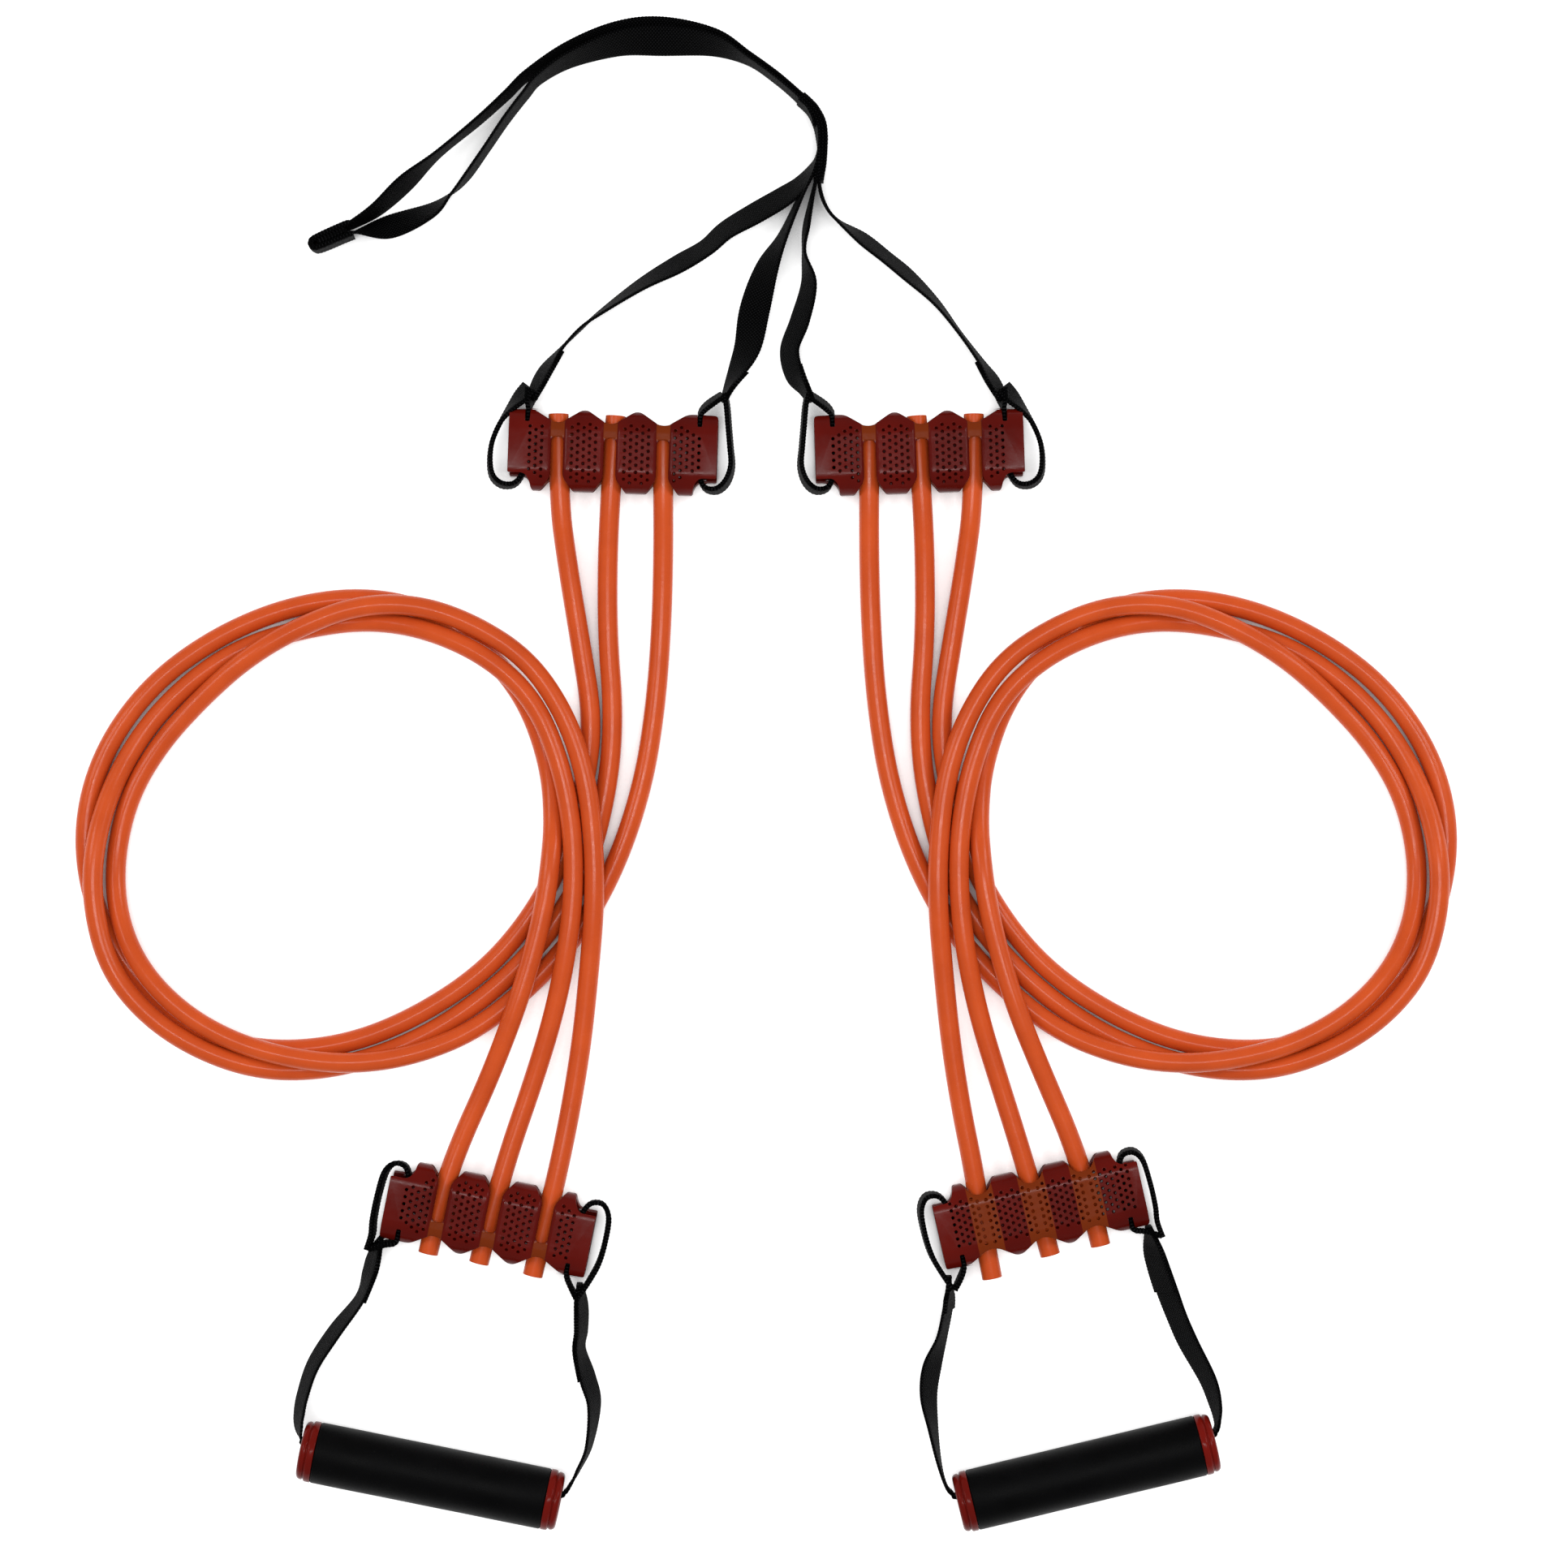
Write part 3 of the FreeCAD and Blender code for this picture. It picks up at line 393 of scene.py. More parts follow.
# ---- webbing ------------------------------------------------------------------------------------
WIDE = 19
THICK = 1.8
LAP = 1.2
LOOP_THICK, TURN_THICK, FOLD_THICK, CORE_THICK = 2.8, 2.1, 3.4, 3.2
RIB = 1.7
RIB_SWELL = 0.10
STEP = RIB / 4


def catmull(before, start, end, after, part):
    """A smooth value between start and end."""
    return tuple(0.5 * (2 * b + (c - a) * part + (2 * a - 5 * b + 4 * c - d) * part ** 2
                        + (3 * b - a - 3 * c + d) * part ** 3)
                 for a, b, c, d in zip(before, start, end, after))


def sampled(stations, step):
    """Stations at an even step along a smooth line through the given ones."""
    fine = []
    for index in range(len(stations) - 1):
        window = [stations[min(max(index + shift, 0), len(stations) - 1)]
                  for shift in (-1, 0, 1, 2)]
        fine += [catmull(*window, part / 24) for part in range(24)]
    fine.append(tuple(stations[-1]))
    even = [fine[0]]
    carried = 0.0
    for start, end in zip(fine, fine[1:]):
        length = (Vector(end[:3]) - Vector(start[:3])).length
        while carried + length >= step:
            part = (step - carried) / length
            start = tuple(a + (b - a) * part for a, b in zip(start, end))
            length = (Vector(end[:3]) - Vector(start[:3])).length
            even.append(start)
            carried = 0.0
        carried += length
    return even


SECTION = [(-1, 0), (-0.97, 0.62), (-0.88, 0.96), (-0.6, 1), (-0.3, 1), (0, 1), (0.3, 1), (0.6, 1),
           (0.88, 0.96), (0.97, 0.62), (1, 0), (0.97, -0.62), (0.88, -0.96), (0.6, -1), (0.3, -1),
           (0, -1), (-0.3, -1), (-0.6, -1), (-0.88, -0.96), (-0.97, -0.62)]


def band(name, stations, thick=THICK, offset=0.0, placed=Matrix()):
    """Ribbed webbing through stations (x, y, z, lean, width); lean 0 stands the webbing on edge."""
    line = sampled(stations, STEP)
    shape = bmesh.new()
    strap = shape.verts.layers.float_vector.new("strap_mm")
    rings = []
    for index, station in enumerate(line):
        here = Vector(station[:3])
        ahead = Vector(line[min(index + 1, len(line) - 1)][:3])
        along = (ahead - Vector(line[max(index - 1, 0)][:3])).normalized()
        sideways = Vector((0, 0, 1)).cross(along).normalized()
        upright = along.cross(sideways)
        lean = math.radians(station[3])
        across = upright * math.cos(lean) + sideways * math.sin(lean)
        through = sideways * math.cos(lean) - upright * math.sin(lean)
        rib = math.sin(2 * math.pi * index * STEP / RIB)
        ring = []
        for wide, deep in SECTION:
            half_wide = station[4] / 2 + RIB_SWELL * rib
            half_deep = thick / 2 * (0.93 + 0.07 * rib * (1 if deep > 0 else -1))
            spot = here + across * wide * half_wide + through * (deep * half_deep + offset)
            vertex = shape.verts.new(placed @ (spot * MM))
            vertex[strap] = (index * STEP, wide * half_wide, deep)
            ring.append(vertex)
        rings.append(ring)
    count = len(SECTION)
    for lower, upper in zip(rings, rings[1:]):
        for step in range(count):
            after = (step + 1) % count
            shape.faces.new((lower[step], lower[after], upper[after], upper[step]))
    shape.faces.new(rings[0])
    shape.faces.new(rings[-1])
    return dress(finished(name, shape), "webbing")


UPPER_PLY = [
    (-213, 284.4, 9.8, 2, WIDE), (-209, 286, 9.8, 5, WIDE), (-197, 293.6, 9.8, 14, WIDE),
    (-182.5, 307, 9.4, 20, WIDE), (-165.5, 322, 9.8, 3, WIDE), (-144.5, 339.3, 9.8, 4, WIDE),
    (-130, 352.5, 9.8, 6, WIDE), (-119, 363, 9.8, 8, WIDE), (-98.3, 375.6, 9.4, 18, WIDE),
    (-73, 384, 8.4, 36, WIDE), (-50, 385.4, 7.7, 48, WIDE), (-23, 381.2, 8.8, 30, WIDE),
    (-4.4, 372.3, 9.8, 6, WIDE), (10.2, 362.2, 9.8, 3, WIDE), (23.2, 351, 9.9, 3, WIDE),
    (29.6, 346, 9.9, 2, WIDE), (32.2, 339.6, 9.9, 6, WIDE)]
LOWER_PLY = [
    (-213, 281.4, 9.8, -2, WIDE), (-208, 281.6, 9.8, -8, WIDE), (-190.7, 284.5, 8, -45, WIDE),
    (-169.7, 292.5, 9, -30, WIDE), (-159.2, 301, 9.8, -8, WIDE), (-150.5, 310.5, 9.8, 3, WIDE),
    (-140, 325.5, 9.8, 4, WIDE), (-130.5, 339.5, 9.8, 5, WIDE), (-120.5, 352.5, 9.8, 6, WIDE),
    (-113, 361.2, 9.8, 8, WIDE), (-96.4, 371.4, 9.4, 18, WIDE), (-72, 379.6, 8.4, 36, WIDE),
    (-50, 381, 7.7, 48, WIDE), (-23.8, 378.8, 8.8, 30, WIDE), (-5.4, 370.6, 9.8, 6, WIDE),
    (9, 360.6, 9.8, 3, WIDE), (21.8, 349.4, 9.9, 3, WIDE), (27.6, 341.4, 9.9, 0, WIDE),
    (29.6, 336, 9.9, -4, WIDE)]
HITCH = [
    (22, 350.6, 9.9, 3, WIDE), (27.8, 345, 9.9, 3, WIDE), (31.6, 338, 9.9, 5, WIDE),
    (33, 330.6, 9.9, 3, WIDE), (33.2, 324, 9.9, 0, WIDE), (32.4, 316, 9.9, 2, WIDE),
    (31.2, 308, 9.9, 0, 18)]
LEGS = {
    "leg_far_left": [
        (31.4, 325, 9.9, 0, WIDE), (29.6, 317.4, 9.8, 10, WIDE), (22, 306.8, 9, 28, WIDE),
        (13, 300, 8.2, 38, WIDE), (-1.7, 291.4, 8, 40, WIDE), (-16.4, 282.8, 8.6, 35, WIDE),
        (-27, 273.6, 8.8, 32, WIDE), (-41.6, 265, 8.6, 34, WIDE), (-60.5, 254.5, 9.2, 23, WIDE),
        (-81.5, 240, 9.8, 10, WIDE), (-92, 231.5, 9.8, 3, WIDE), (-102.5, 220.5, 10.2, 8, WIDE),
        (-110, 210.6, 10.8, 22, 18), (-114.6, 202, 11.4, 24, 16), (-117.4, 194.5, 12, 14, 14)],
    "leg_near_left": [
        (31.2, 322, 9.9, 0, WIDE), (28.6, 313, 9.9, 3, WIDE), (21.6, 299, 9.8, 8, WIDE),
        (13, 280, 9.6, 16, WIDE), (4.6, 263, 8.6, 40, WIDE), (-1.7, 242, 7, 57, WIDE),
        (-5.2, 223, 8, 48, WIDE), (-10.6, 210, 9.6, 30, WIDE), (-15.4, 201, 11.4, 14, 17),
        (-18.4, 194, 12, 6, 16)],
    "leg_near_right": [
        (31.6, 322, 9.9, 0, WIDE), (31, 313, 9.9, 2, WIDE), (28.2, 301, 9.9, 4, WIDE),
        (25, 284.5, 9.8, 9, WIDE), (23.8, 270.5, 9.8, 3, WIDE), (26.2, 254.8, 9.2, 24, WIDE),
        (21.6, 236, 8.8, 32, WIDE), (16.4, 221.4, 8.8, 30, WIDE), (18.4, 209, 9.6, 28, WIDE),
        (23, 201, 11.4, 16, 17), (27, 194, 12, 6, 16)],
    "leg_far_right": [
        (32, 324, 9.9, 0, WIDE), (31.6, 313, 9.9, 0, WIDE), (32.2, 303, 9.9, 0, WIDE),
        (36, 293.4, 9.9, -3, WIDE), (42.4, 286.6, 9.9, -8, WIDE), (54.2, 278.2, 9.2, -24, WIDE),
        (66.4, 268.6, 9.2, -24, WIDE), (78, 259, 9.2, -24, WIDE), (92, 245.4, 9.6, -14, WIDE),
        (103.6, 230.4, 9.9, -8, WIDE), (115, 215, 10.2, -12, WIDE), (121, 206, 10.8, -22, 18),
        (124.2, 200, 11.6, -22, 16), (126.6, 194, 12, -12, 14)]}
LEFT_STIRRUP = [
    (-194.6, -237, 12, 0, 16), (-197.2, -243, 12, 16, 16.5), (-199.4, -250, 11.6, 24, 17.5),
    (-201.5, -257, 10.8, 22, WIDE), (-206, -270, 10, 16, WIDE), (-219, -287, 9.6, 22, WIDE),
    (-230, -304, 9.6, 22, WIDE), (-235.4, -320, 11.4, 21, WIDE), (-237, -330, 13.4, 20, WIDE),
    (-236.8, -336.5, 15, 16, 18), (-235.6, -341.4, 15.7, 6, 17), (-232.6, -344, 15.8, 0, 16),
    (-207.4, -349.8, 15.8, 0, 16), (-129, -365.6, 15.8, 0, 16), (-103.6, -370.3, 15.8, 0, 16),
    (-99.4, -368.9, 15.8, 0, 16), (-97, -365.6, 15.4, 0, 17), (-93, -358.3, 14.2, 4, WIDE),
    (-87.4, -345.7, 12.4, 8, WIDE), (-84.8, -325, 10.4, 18, WIDE), (-88.2, -311, 9.6, 22, WIDE),
    (-92, -296.5, 9.8, 13, WIDE), (-91, -287, 9.8, 15, 18), (-90.8, -277.5, 10.6, 18, 17),
    (-91.2, -270, 11.6, 15, 16), (-91.7, -262, 12, 0, 14)]
RIGHT_STIRRUP = [
    (98, -258, 12, 0, 14), (98, -263, 12, -4, 15), (98.2, -269, 11.6, -15, 17),
    (97.8, -276, 10.8, -17, 18), (94.9, -290, 9.8, -18, WIDE), (90, -305, 9.2, -32, WIDE),
    (88.2, -320, 9.6, -28, WIDE), (90.4, -337, 12, -15, WIDE), (93.4, -354, 14, -5, WIDE),
    (96.6, -365, 15.4, 0, 17), (99.8, -369.4, 15.8, 0, 16), (104, -370.9, 15.8, 0, 16),
    (129.7, -365.5, 15.8, 0, 16), (207.5, -346.9, 15.8, 0, 16), (232.4, -340.2, 15.8, 0, 16),
    (235.9, -337.6, 15.8, 0, 16), (237.2, -333, 15.2, -3, 17), (236.6, -325.5, 13.4, -14, WIDE),
    (232.6, -312, 11, -24, WIDE), (222.6, -293, 9.4, -30, WIDE), (216.6, -279.4, 9.2, -30, WIDE),
    (211.6, -266, 9.6, -32, WIDE), (207.6, -254, 10.8, -30, WIDE), (204.6, -243.6, 11.8, -26, 17.5),
    (202.4, -232, 12, 0, 16)]

# End loops: (along the pocket, towards the strap edge, lean, width) from the middle of its depth.
UPPER_SHORT_LOOP = [
    (-41.6, 31, 20, 17), (-42.6, 25.4, 12, 16), (-43, 20.6, 0, 15), (-43, 14, 0, 15),
    (-43.4, 4, 0, 15), (-44, -7, 0, 14), (-46, -14.6, 0, 12.4), (-50, -18.6, 2.7, 14),
    (-56, -18.6, 5.4, 16), (-60.6, -14.6, 6.3, 17), (-62.2, -7, 5.4, 17), (-61.4, 3, 4.5, 17),
    (-57.6, 13, 4.5, 17), (-52.6, 20.6, 14, 17), (-47.4, 27, 28, 17), (-43, 32.4, 30, 17)]
UPPER_LONG_LOOP = [
    (57, 31.6, -12, 17), (50, 26.4, -14, 16), (46.6, 22.6, -10, 15), (45.8, 19, 0, 15),
    (45.8, 12, 0, 15), (45.6, 4, 0, 15), (46, -7, 0, 14), (47.4, -14, 0, 12.4),
    (50.6, -17.6, -3.6, 14), (56, -17.6, -6.3, 16), (60.6, -13, -6.3, 17), (62.8, -5, -4.5, 17),
    (61.8, 5, -3.6, 17), (60.6, 15, -3.6, 17), (59.4, 25.2, -3.6, 17), (58, 32, -3.6, 17)]
LOWER_LONG_LOOP = [
    (59.6, 27.6, 1.8, 16), (52, 23.6, 2.7, 16), (47, 21.8, 1.8, 15), (45.9, 18.6, 0, 15),
    (45.8, 12, 0, 15), (45.6, 4, 0, 15), (46, -7, 0, 14), (47, -14.2, 0, 12.4),
    (50, -18.2, 1.8, 14), (55.4, -18, 3.6, 16), (59, -12.5, 3.6, 17), (60.2, 0, 2.7, 17),
    (60.2, 12, 2.7, 17), (59.4, 20, 2.7, 17), (60.4, 28, 1.8, 17)]
LOWER_SHORT_LOOP = [
    (-50.4, 31.4, 0, 16), (-46.4, 26.4, 1.8, 16), (-43.6, 22, 0.9, 15), (-43, 18.6, 0, 15),
    (-43, 12, 0, 15), (-43.4, 4, 0, 15), (-44, -7, 0, 14), (-46, -14.6, 0, 12.4),
    (-49.6, -18.4, -1.8, 14), (-55, -18.2, -3.6, 16), (-58.8, -12, -3.6, 17), (-59.4, 0, -2.7, 17),
    (-58.4, 11, -2.7, 17), (-55.6, 20.4, -1.8, 17), (-51.4, 31, 0, 17)]


def turned(home, degrees, flipped=False):
    """Where a pocket or grip stands, turned about Z, with its front face down if flipped."""
    matrix = Matrix.Translation(Vector(home) * MM) @ Matrix.Rotation(math.radians(degrees), 4, "Z")
    return matrix @ Matrix.Rotation(math.pi, 4, "X") if flipped else matrix


UPPER_TILT = 2
UPPER_HOME = (-76.2, 167.7, 12)
PLACES = {
    "upper_left": (turned(UPPER_HOME, -UPPER_TILT), 1),
    "upper_right": (turned((2 * MIRROR - UPPER_HOME[0], *UPPER_HOME[1:]), UPPER_TILT), -1),
    "lower_left": (turned((-137.2, -228.4, 12), 168.7), 1),
    "lower_right": (turned((143.9, -223.2, 12), 12.6, flipped=True), 1)}


def end_loop(name, route, where):
    placed, hand = PLACES[where]
    lifted = [(hand * along, across, 0, -hand * lean, width)
              for along, across, lean, width in route]
    return band(name, lifted, thick=LOOP_THICK, placed=placed)


for where in PLACES:
    if where.startswith("upper"):
        inner_route, outer_route = UPPER_LONG_LOOP, UPPER_SHORT_LOOP
    else:
        inner_route, outer_route = LOWER_SHORT_LOOP, LOWER_LONG_LOOP
    for end, route in (("inner", inner_route), ("outer", outer_route)):
        node = "%s_%s_loop" % (where, end)
        loop = end_loop("%s_webbing" % node, route, where)
        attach(loop, ROOT)
        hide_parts(node)

for node, stations in (("door_strap_upper_ply", UPPER_PLY), ("door_strap_lower_ply", LOWER_PLY)):
    ply = band(node + "_webbing", stations)
    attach(ply, ANCHOR)
    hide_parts(node)
for index, offset in enumerate((-1.7, 0, 1.7)):
    turn = band("strap_hitch_turn_%d" % (index + 1), HITCH, thick=TURN_THICK, offset=offset)
    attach(turn, ANCHOR)
    if index == 0:
        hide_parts("strap_hitch")

LAPS = {
    "leg_far_left": (11, LAP), "leg_near_left": (7, LAP), "leg_near_right": (8, LAP),
    "leg_far_right": (10, -LAP)}
for node, stations in LEGS.items():
    leg = band(node + "_webbing", stations)
    first, offset = LAPS[node]
    lap = band(node + "_sewn_lap", stations[first:], offset=offset)
    for piece in (leg, lap):
        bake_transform(piece)
    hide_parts(node)
STIRRUPS = {
    "left_stirrup": (LEFT_STIRRUP, 5, 6, (-144.45, -254.75, 12), (-0.1744, -0.9847, 0)),
    "right_stirrup": (RIGHT_STIRRUP, 4, 4, (150, -250.1, 12), (0.2461, -0.9693, 0))}
HINGE_BEFORE, HINGE_BEYOND = 5, 15
for node, (stations, first, last, middle, away) in STIRRUPS.items():
    strap = band(node + "_webbing", stations)
    pieces = [strap]
    for index, lap in enumerate((stations[:first], stations[-last:])):
        pieces.append(band("%s_sewn_lap_%d" % (node, index + 1), lap, offset=LAP))
    end = Vector(middle) + HINGE_BEYOND * Vector(away)
    for piece in pieces:
        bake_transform(piece)
    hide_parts(node + "_strap")

# The door strap's folded end: three plies laid on each other, seen on edge.
STOPPER_FOLDS = [
    (-210.6, 285.6, 9.8, 0, WIDE), (-214, 284.6, 9.8, 0, WIDE), (-226.6, 278.9, 9.8, 0, WIDE),
    (-230.3, 276.4, 9.8, 0, 18.6), (-230, 273.6, 9.8, 0, 18.6), (-226.6, 273.2, 9.8, 0, WIDE),
    (-214, 278.4, 9.8, 0, WIDE), (-209.4, 280.2, 9.8, 0, WIDE)]
STOPPER_CORE = [
    (-212.4, 282.4, 9.8, 0, 18.4), (-220, 278.9, 9.8, 0, 18.4), (-227.4, 275.7, 9.8, 0, 18)]
fold = band("strap_stopper_folds", STOPPER_FOLDS, thick=FOLD_THICK)
core = band("strap_stopper_core", STOPPER_CORE, thick=CORE_THICK)
for piece in (fold, core):
    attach(piece, ANCHOR)
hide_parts("strap_stopper")

# ---- pockets ------------------------------------------------------------------------------------
WALL = 2.4
HALF_DEPTH, HALF_HEIGHT = 12, 21.5
SHORT_END, LONG_END = 52.4, 55.2
LOBE = CHANNEL_PITCH / 2
HALF_SLOT = 3.2
SLOT_REACH = 6.4
EDGE_BEVEL = 0.25
BRIDGE_DROP, DIP_REACH = 0.9, 1.8
HOLE_RADIUS = 0.87
HOLE_SIDES = 10
ROW_PITCH = 3.7
FRONT_COLUMN_PITCH, BACK_COLUMN_PITCH = 3.05, 2.8
CORNER_STEPS = 4
CUT_SNAP = 0.06
SHARP_ANGLE = 12


def rounded(corners):
    """Corners (x, y, reach) cut by small curves that start that far from each corner."""
    points = []
    for index, (x, y, reach) in enumerate(corners):
        here = Vector((x, y))
        before = Vector(corners[index - 1][:2])
        after = Vector(corners[(index + 1) % len(corners)][:2])
        start = here + (before - here).normalized() * reach
        end = here + (after - here).normalized() * reach
        for step in range(CORNER_STEPS + 1):
            part = step / CORNER_STEPS
            points.append(start * (1 - part) ** 2 + here * 2 * part * (1 - part) + end * part ** 2)
    return points


def plate_outline(front):
    """One wall of a pocket, seen square on, anticlockwise from its short end's notch."""
    notch = -12.8 if front else -13.8
    corners = [(-SHORT_END, notch, 0.8), (-43.4, notch, 2.6)]
    corners += [(-41.2, notch - 4, 1.6), (-40.2, -HALF_HEIGHT, 1.6)]
    for centre in (-CHANNEL_PITCH, 0, CHANNEL_PITCH):
        if front:
            corners += [(centre - 8.4, -HALF_HEIGHT, 1.4), (centre - HALF_SLOT, -14.6, 2)]
            corners += [(centre - HALF_SLOT, SLOT_REACH, 2.8)]
            corners += [(centre + HALF_SLOT, SLOT_REACH, 2.8)]
            corners += [(centre + HALF_SLOT, -14.6, 2), (centre + 8.4, -HALF_HEIGHT, 1.4)]
        else:
            corners += [(centre - 8.4, -HALF_HEIGHT, 1.4), (centre - 3.6, -14.6, 3.4)]
            corners += [(centre + 3.6, -14.6, 3.4), (centre + 8.4, -HALF_HEIGHT, 1.4)]
    corners += [(43, -HALF_HEIGHT, 1.6), (43.6, notch - 4, 1.6)]
    corners += [(46, notch, 2.6), (LONG_END, notch, 0.8)]
    corners += [(LONG_END, 20.3, 2.2), (LONG_END - 8.1, 20.5, 0.1), (LONG_END - 8.2, 13.9, 0.8)]
    corners += [(LONG_END - 10.6, 13.9, 0.8), (LONG_END - 10.7, 20.6, 0.1)]
    corners += [(39.6, 20.6, 2.4), (31, 15, 1.6)]
    for centre in (CHANNEL_PITCH, 0, -CHANNEL_PITCH):
        corners += [(centre, 14, 2.2)]
        if centre > -CHANNEL_PITCH:
            corners += [(centre - 4, 15.2, 1.6), (centre - LOBE, 22, 3.4)]
            corners += [(centre - CHANNEL_PITCH + 4, 15.2, 1.6)]
    corners += [(-31, 15, 1.6), (-40, 20.6, 2.4)]
    corners += [(-SHORT_END + 10.7, 20.6, 0.1), (-SHORT_END + 10.6, 13.9, 0.8)]
    corners += [(-SHORT_END + 8.2, 13.9, 0.8), (-SHORT_END + 8.1, 20.5, 0.1)]
    corners += [(-SHORT_END, 20.3, 1.4)]
    return rounded(corners)


def hole_column(along, staggered, lowest, highest):
    """One column of hole middles; a staggered column starts half a row higher."""
    first = 13.2 if staggered else 11.35
    rows = [first - ROW_PITCH * row for row in range(9)]
    return [(along, row) for row in rows if lowest <= row <= highest]


def front_holes():
    """Fields of small holes on the lobes and the end pieces."""
    holes = []
    for centre in (-LOBE, LOBE):
        for column in range(5):
            along = centre + FRONT_COLUMN_PITCH * (column - 2)
            holes += hole_column(along, column % 2 == 1, -16.5, 15)
    for column, along in enumerate((-41.4, -38.3, -35.2)):
        holes += hole_column(along, column % 2 == 1, -11 if column == 0 else -16, 13)
    for column, along in enumerate((33.4, 36.5, 39.6, 42.7, 45.8)):
        lowest, highest = -16 if column < 2 else -10.6, 14 if column < 3 else 11
        holes += hole_column(along, column % 2 == 1, lowest, highest)
    return holes


def back_holes():
    """One wide field, broken by a plain strip behind each tube."""
    holes = []
    for centre in (-40.6, -LOBE, LOBE, 40.8):
        for column in range(9):
            along = centre + BACK_COLUMN_PITCH * (column - 4)
            if -45.5 < along < 50:
                in_end = along < -30 or along > 31
                lowest, highest = (-13, 11) if in_end else (-14.2, 12.8)
                field = hole_column(along, column % 2 == 1, lowest, highest)
                holes += [(along, across - 0.5) for along, across in field]
    return holes


def flat_plate(name, outline, holes):
    """A flat plate with rounded edges and round holes, as a mesh in millimetres."""
    curve = bpy.data.curves.new(name, "CURVE")
    curve.dimensions = "2D"
    curve.fill_mode = "BOTH"
    curve.extrude = WALL / 2 - EDGE_BEVEL
    curve.bevel_depth = EDGE_BEVEL
    curve.bevel_resolution = 1
    curve.offset = -EDGE_BEVEL
    rings = [outline]
    for along, across in holes:
        angles = [math.pi * step / (HOLE_SIDES / 2) for step in range(HOLE_SIDES)]
        rings.append([Vector((along + HOLE_RADIUS * math.cos(angle),
                              across + HOLE_RADIUS * math.sin(angle))) for angle in angles])
    for ring in rings:
        spline = curve.splines.new("POLY")
        spline.points.add(len(ring) - 1)
        for control, point in zip(spline.points, ring):
            control.co = (point.x, point.y, 0, 1)
        spline.use_cyclic_u = True
    carrier = bpy.data.objects.new(name, curve)
    bpy.context.collection.objects.link(carrier)
    bpy.context.view_layer.update()
    evaluated = carrier.evaluated_get(bpy.context.evaluated_depsgraph_get())
    mesh = bpy.data.meshes.new_from_object(evaluated)
    bpy.data.objects.remove(carrier)
    bpy.data.curves.remove(curve)
    return mesh


def slot_dip(along, front):
    """How far the front face rolls down near a slot, and how low the bridge above it lies."""
    if not front:
        return 0.0
    nearest = max(-1, min(1, round(along / CHANNEL_PITCH))) * CHANNEL_PITCH
    away = abs(along - nearest) - HALF_SLOT
    if away < 0:
        return BRIDGE_DROP
    return BRIDGE_DROP * (1 - away / DIP_REACH) ** 2 if away < DIP_REACH else 0.0


def wrapped(shape, front, hand, stored):
    """Bend a flat plate round the pocket's oval section."""
    side = 1 if front else -1
    radius = HALF_DEPTH
    straight = HALF_HEIGHT - radius
    for vertex in shape.verts:
        along, across, level = vertex.co
        inward = WALL / 2 - level + slot_dip(along, front)
        beyond = math.copysign(min(radius, max(abs(across) - straight, 0)), across)
        angle = math.asin(beyond / radius)
        flat = max(-straight, min(straight, across))
        height = (radius - inward) * math.cos(angle)
        vertex[stored] = (along, across, side * max(height, 0.1))
        bent = (hand * along, flat + (radius - inward) * math.sin(angle), side * height)
        vertex.co = Vector(bent) * MM


def cut_across(shape, position, direction):
    """Add edges where a plane crosses the plate, so that it can bend there."""
    everything = shape.verts[:] + shape.edges[:] + shape.faces[:]
    bmesh.ops.bisect_plane(shape, geom=everything, plane_co=position, plane_no=direction,
                           dist=CUT_SNAP)


def pocket_mesh(name, hand):
    """Front and back walls of one pocket in one mesh."""
    whole = bmesh.new()
    for front in (True, False):
        flat = flat_plate(name, plate_outline(front), front_holes() if front else back_holes())
        shape = bmesh.new()
        shape.from_mesh(flat)
        bpy.data.meshes.remove(flat)
        bmesh.ops.remove_doubles(shape, verts=shape.verts, dist=0.004)
        for angle in range(0, 90, 9):
            cut = HALF_HEIGHT - HALF_DEPTH + HALF_DEPTH * math.sin(math.radians(angle))
            for sign in (-1, 1):
                cut_across(shape, (0, sign * cut, 0), (0, 1, 0))
        if front:
            for centre in (-CHANNEL_PITCH, 0, CHANNEL_PITCH):
                for reach in (3.3, 3.7, 4.2, 4.8):
                    for sign in (-1, 1):
                        cut_across(shape, (centre + sign * reach, 0, 0), (1, 0, 0))
        stored = shape.verts.layers.float_vector.new("pocket_mm")
        wrapped(shape, front, hand, stored)
        mesh = bpy.data.meshes.new(name + "_wall")
        shape.to_mesh(mesh)
        shape.free()
        whole.from_mesh(mesh)
        bpy.data.meshes.remove(mesh)
    bmesh.ops.recalc_face_normals(whole, faces=whole.faces)
    mesh = bpy.data.meshes.new(name)
    whole.to_mesh(mesh)
    whole.free()
    mesh.polygons.foreach_set("use_smooth", [True] * len(mesh.polygons))
    mesh.set_sharp_from_angle(angle=math.radians(SHARP_ANGLE))
    return mesh


POCKET_MESHES = {1: pocket_mesh("pocket", 1), -1: pocket_mesh("pocket_mirrored", -1)}
for where, (placed, hand) in PLACES.items():
    moulding = bpy.data.objects.new(where + "_pocket_moulding", POCKET_MESHES[hand].copy())
    bpy.context.collection.objects.link(moulding)
    moulding.data.transform(placed)
    dress(moulding, "pocket_plastic")
    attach(moulding, ROOT)
    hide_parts(where + "_pocket")

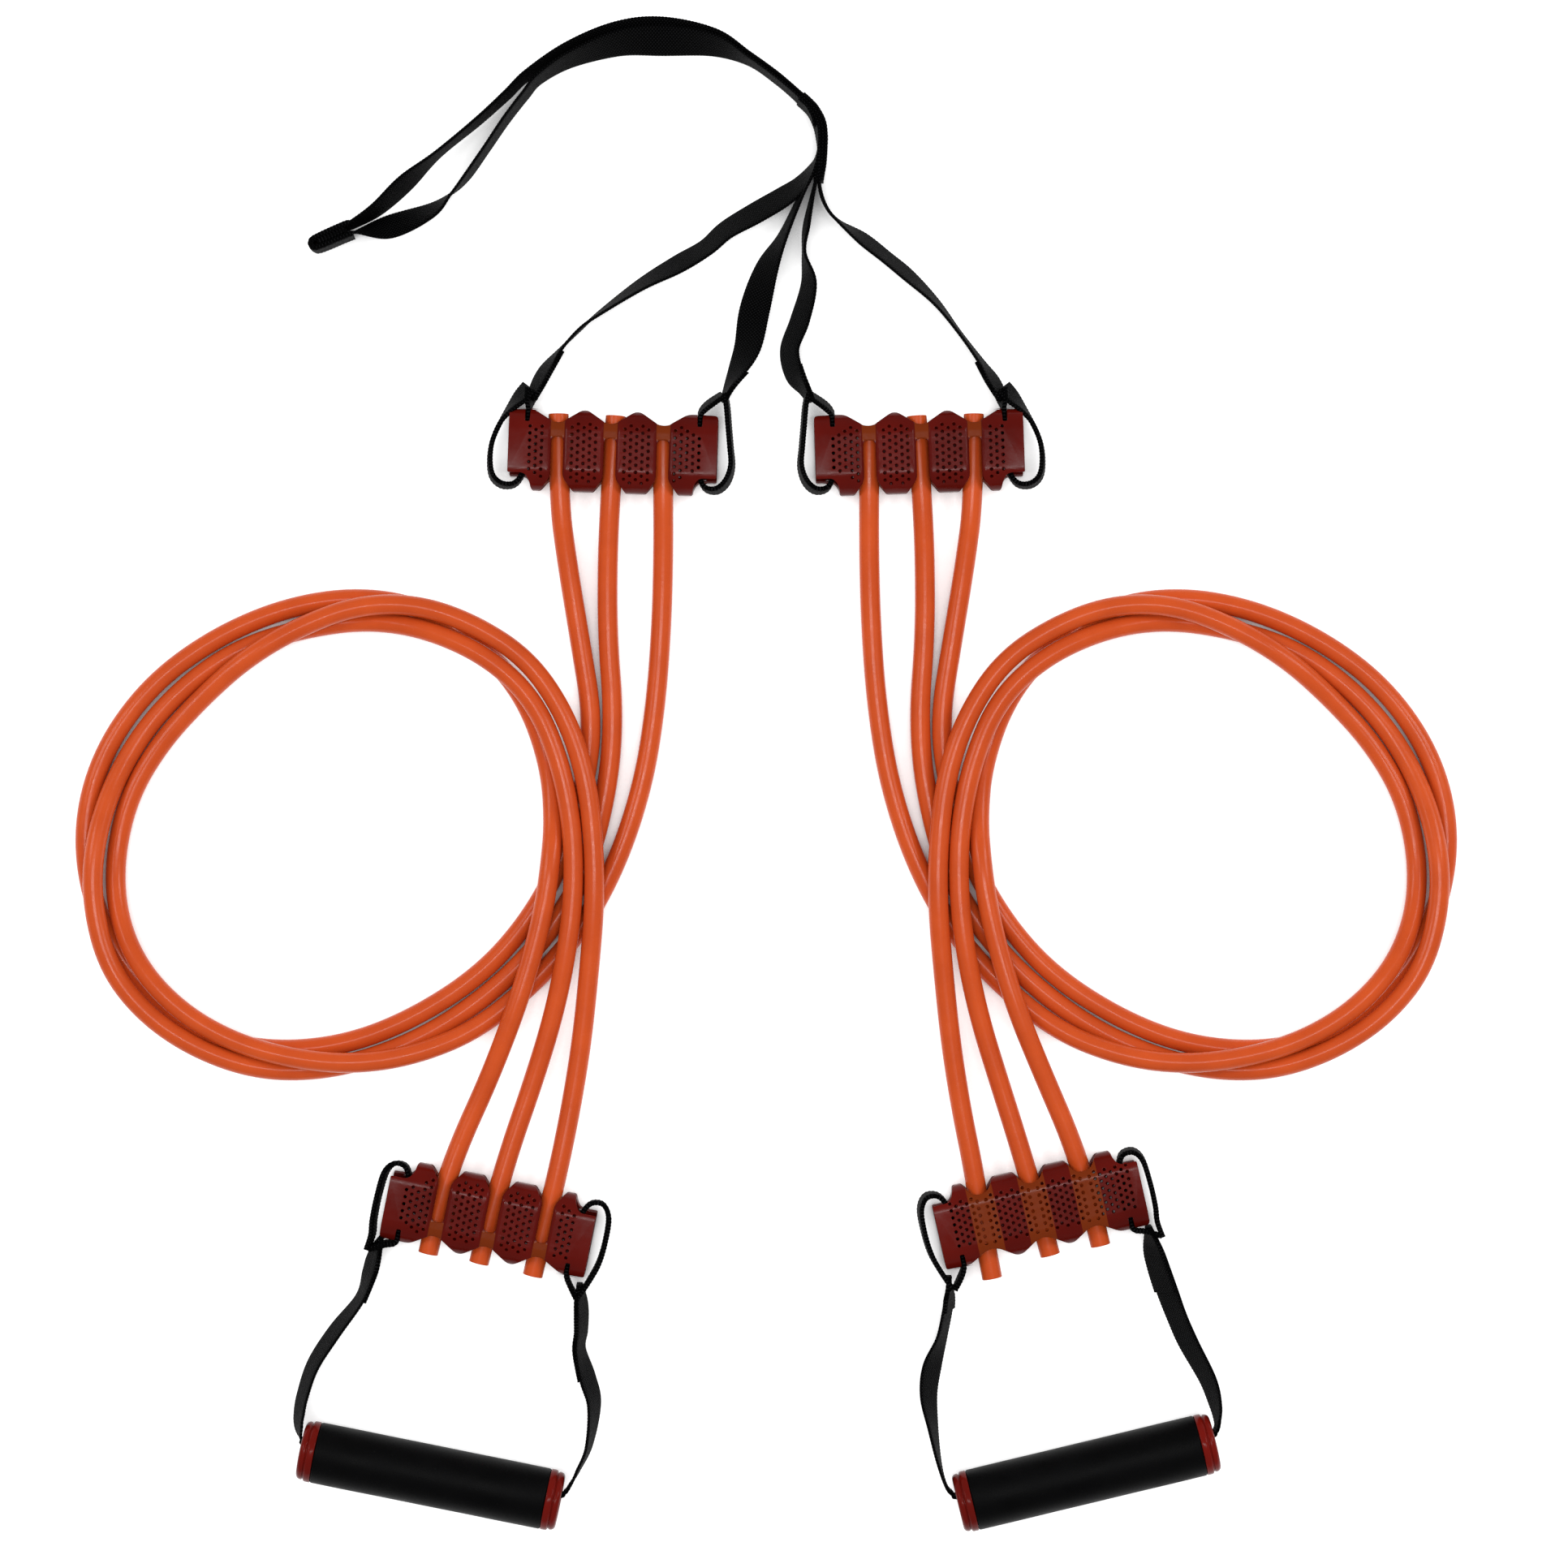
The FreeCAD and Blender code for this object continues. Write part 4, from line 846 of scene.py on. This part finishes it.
# ---- grips --------------------------------------------------------------------------------------
HALF_FOAM = 60.5
GRIP_SEGMENTS = 96
FOAM_PROFILE = [
    (-HALF_FOAM, 13.02), (-HALF_FOAM, 15.1), (-HALF_FOAM + 0.25, 15.5), (-HALF_FOAM + 0.9, 15.74),
    (-40, 15.78), (-20, 15.72), (0, 15.76), (20, 15.72), (40, 15.78), (HALF_FOAM - 0.9, 15.74),
    (HALF_FOAM - 0.25, 15.5), (HALF_FOAM, 15.1), (HALF_FOAM, 13.02)]
CAP_PROFILE = [
    (51.6, 10.3), (51.6, 11.15), (60.55, 11.15), (60.55, 15.3), (60.7, 15.65), (61, 15.8),
    (63.2, 15.78), (63.8, 15.6), (64.15, 15.2), (64.3, 14.75), (64.45, 14.6), (64.65, 14.6),
    (64.8, 14.7), (64.95, 14.95), (65.4, 15.1), (66.4, 15), (67.2, 14.6), (67.8, 13.95),
    (68.1, 13.2), (68.1, 12.8), (67.8, 12.2), (67.1, 11.4), (66.1, 10.7), (64.6, 10.35), (62, 10.3)]
GRIPS = {"left": ((-168.8, -360.6, 15.85), -11.4), "right": ((169.3, -359.1, 15.85), 13.5)}
for side, (home, degrees) in GRIPS.items():
    axis = Vector((math.cos(math.radians(degrees)), math.sin(math.radians(degrees)), 0))
    name = side + "_grip_foam_sleeve"
    foam = dress(lathe(name, FOAM_PROFILE, home, axis, GRIP_SEGMENTS), "grip_foam")
    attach(foam, side + "_grip")
    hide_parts(side + "_grip_foam")
    for end in ("inner", "outer"):
        towards = 1 if (side == "left") == (end == "inner") else -1
        name = "%s_grip_cap_%s_moulding" % (side, end)
        cap = dress(lathe(name, CAP_PROFILE, home, axis * towards, GRIP_SEGMENTS), "cap_plastic")
        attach(cap, side + "_grip")
        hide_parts("%s_grip_cap_%s" % (side, end))
    dress(bpy.data.objects[side + "_grip_core"], "core_plastic")

# ---- floor and light ----------------------------------------------------------------------------
FLOOR = 6
FLOOR_LEVEL = -0.0004
floor_mesh = bpy.data.meshes.new("floor")
floor_corners = [(-FLOOR, -FLOOR, 0), (FLOOR, -FLOOR, 0), (FLOOR, FLOOR, 0), (-FLOOR, FLOOR, 0)]
floor_mesh.from_pydata(floor_corners, [], [(0, 1, 2, 3)])
floor = bpy.data.objects.new("floor", floor_mesh)
floor.location.z = FLOOR_LEVEL
bpy.context.collection.objects.link(floor)

# The paper glows, so that the open floor is white; it stays dark in narrow gaps and holes.
paper = Nodes("floor", (0.6, 0.6, 0.6), 0.9, Emission_Color=(1, 1, 1, 1), Specular_IOR_Level=0.1)
nearby = paper.tree.nodes.new("ShaderNodeAmbientOcclusion")
nearby.samples = 6
nearby.inputs["Distance"].default_value = 0.016
glow = paper.spread(nearby.outputs["AO"], 0.26, 0.56, 0.01, 0.8)
paper.put(glow, paper.shader.inputs["Emission Strength"])
floor_mesh.materials.append(paper.material)

world = bpy.data.worlds.new("studio")
world.use_nodes = True
world.node_tree.nodes["Background"].inputs["Color"].default_value = (1, 1, 1, 1)
world.node_tree.nodes["Background"].inputs["Strength"].default_value = 0.5
bpy.context.scene.world = world


def area_light(name, place_at, sides, power):
    """A soft light aimed at the middle of the floor."""
    data = bpy.data.lights.new(name, "AREA")
    data.shape = "RECTANGLE"
    data.size, data.size_y = sides
    data.energy = power
    light = bpy.data.objects.new(name, data)
    light.location = place_at
    light.rotation_mode = "QUATERNION"
    light.rotation_quaternion = (-Vector(place_at)).to_track_quat("-Z", "Y")
    bpy.context.collection.objects.link(light)


area_light("overhead", (0.02, 0, 3.0), (0.1, 1.7), 32)
area_light("left", (-1.5, 0.5, 1.5), (0.4, 1), 10)
area_light("right", (1.5, 0.6, 1.5), (0.4, 1), 12)
bpy.context.scene.view_settings.view_transform = "Standard"
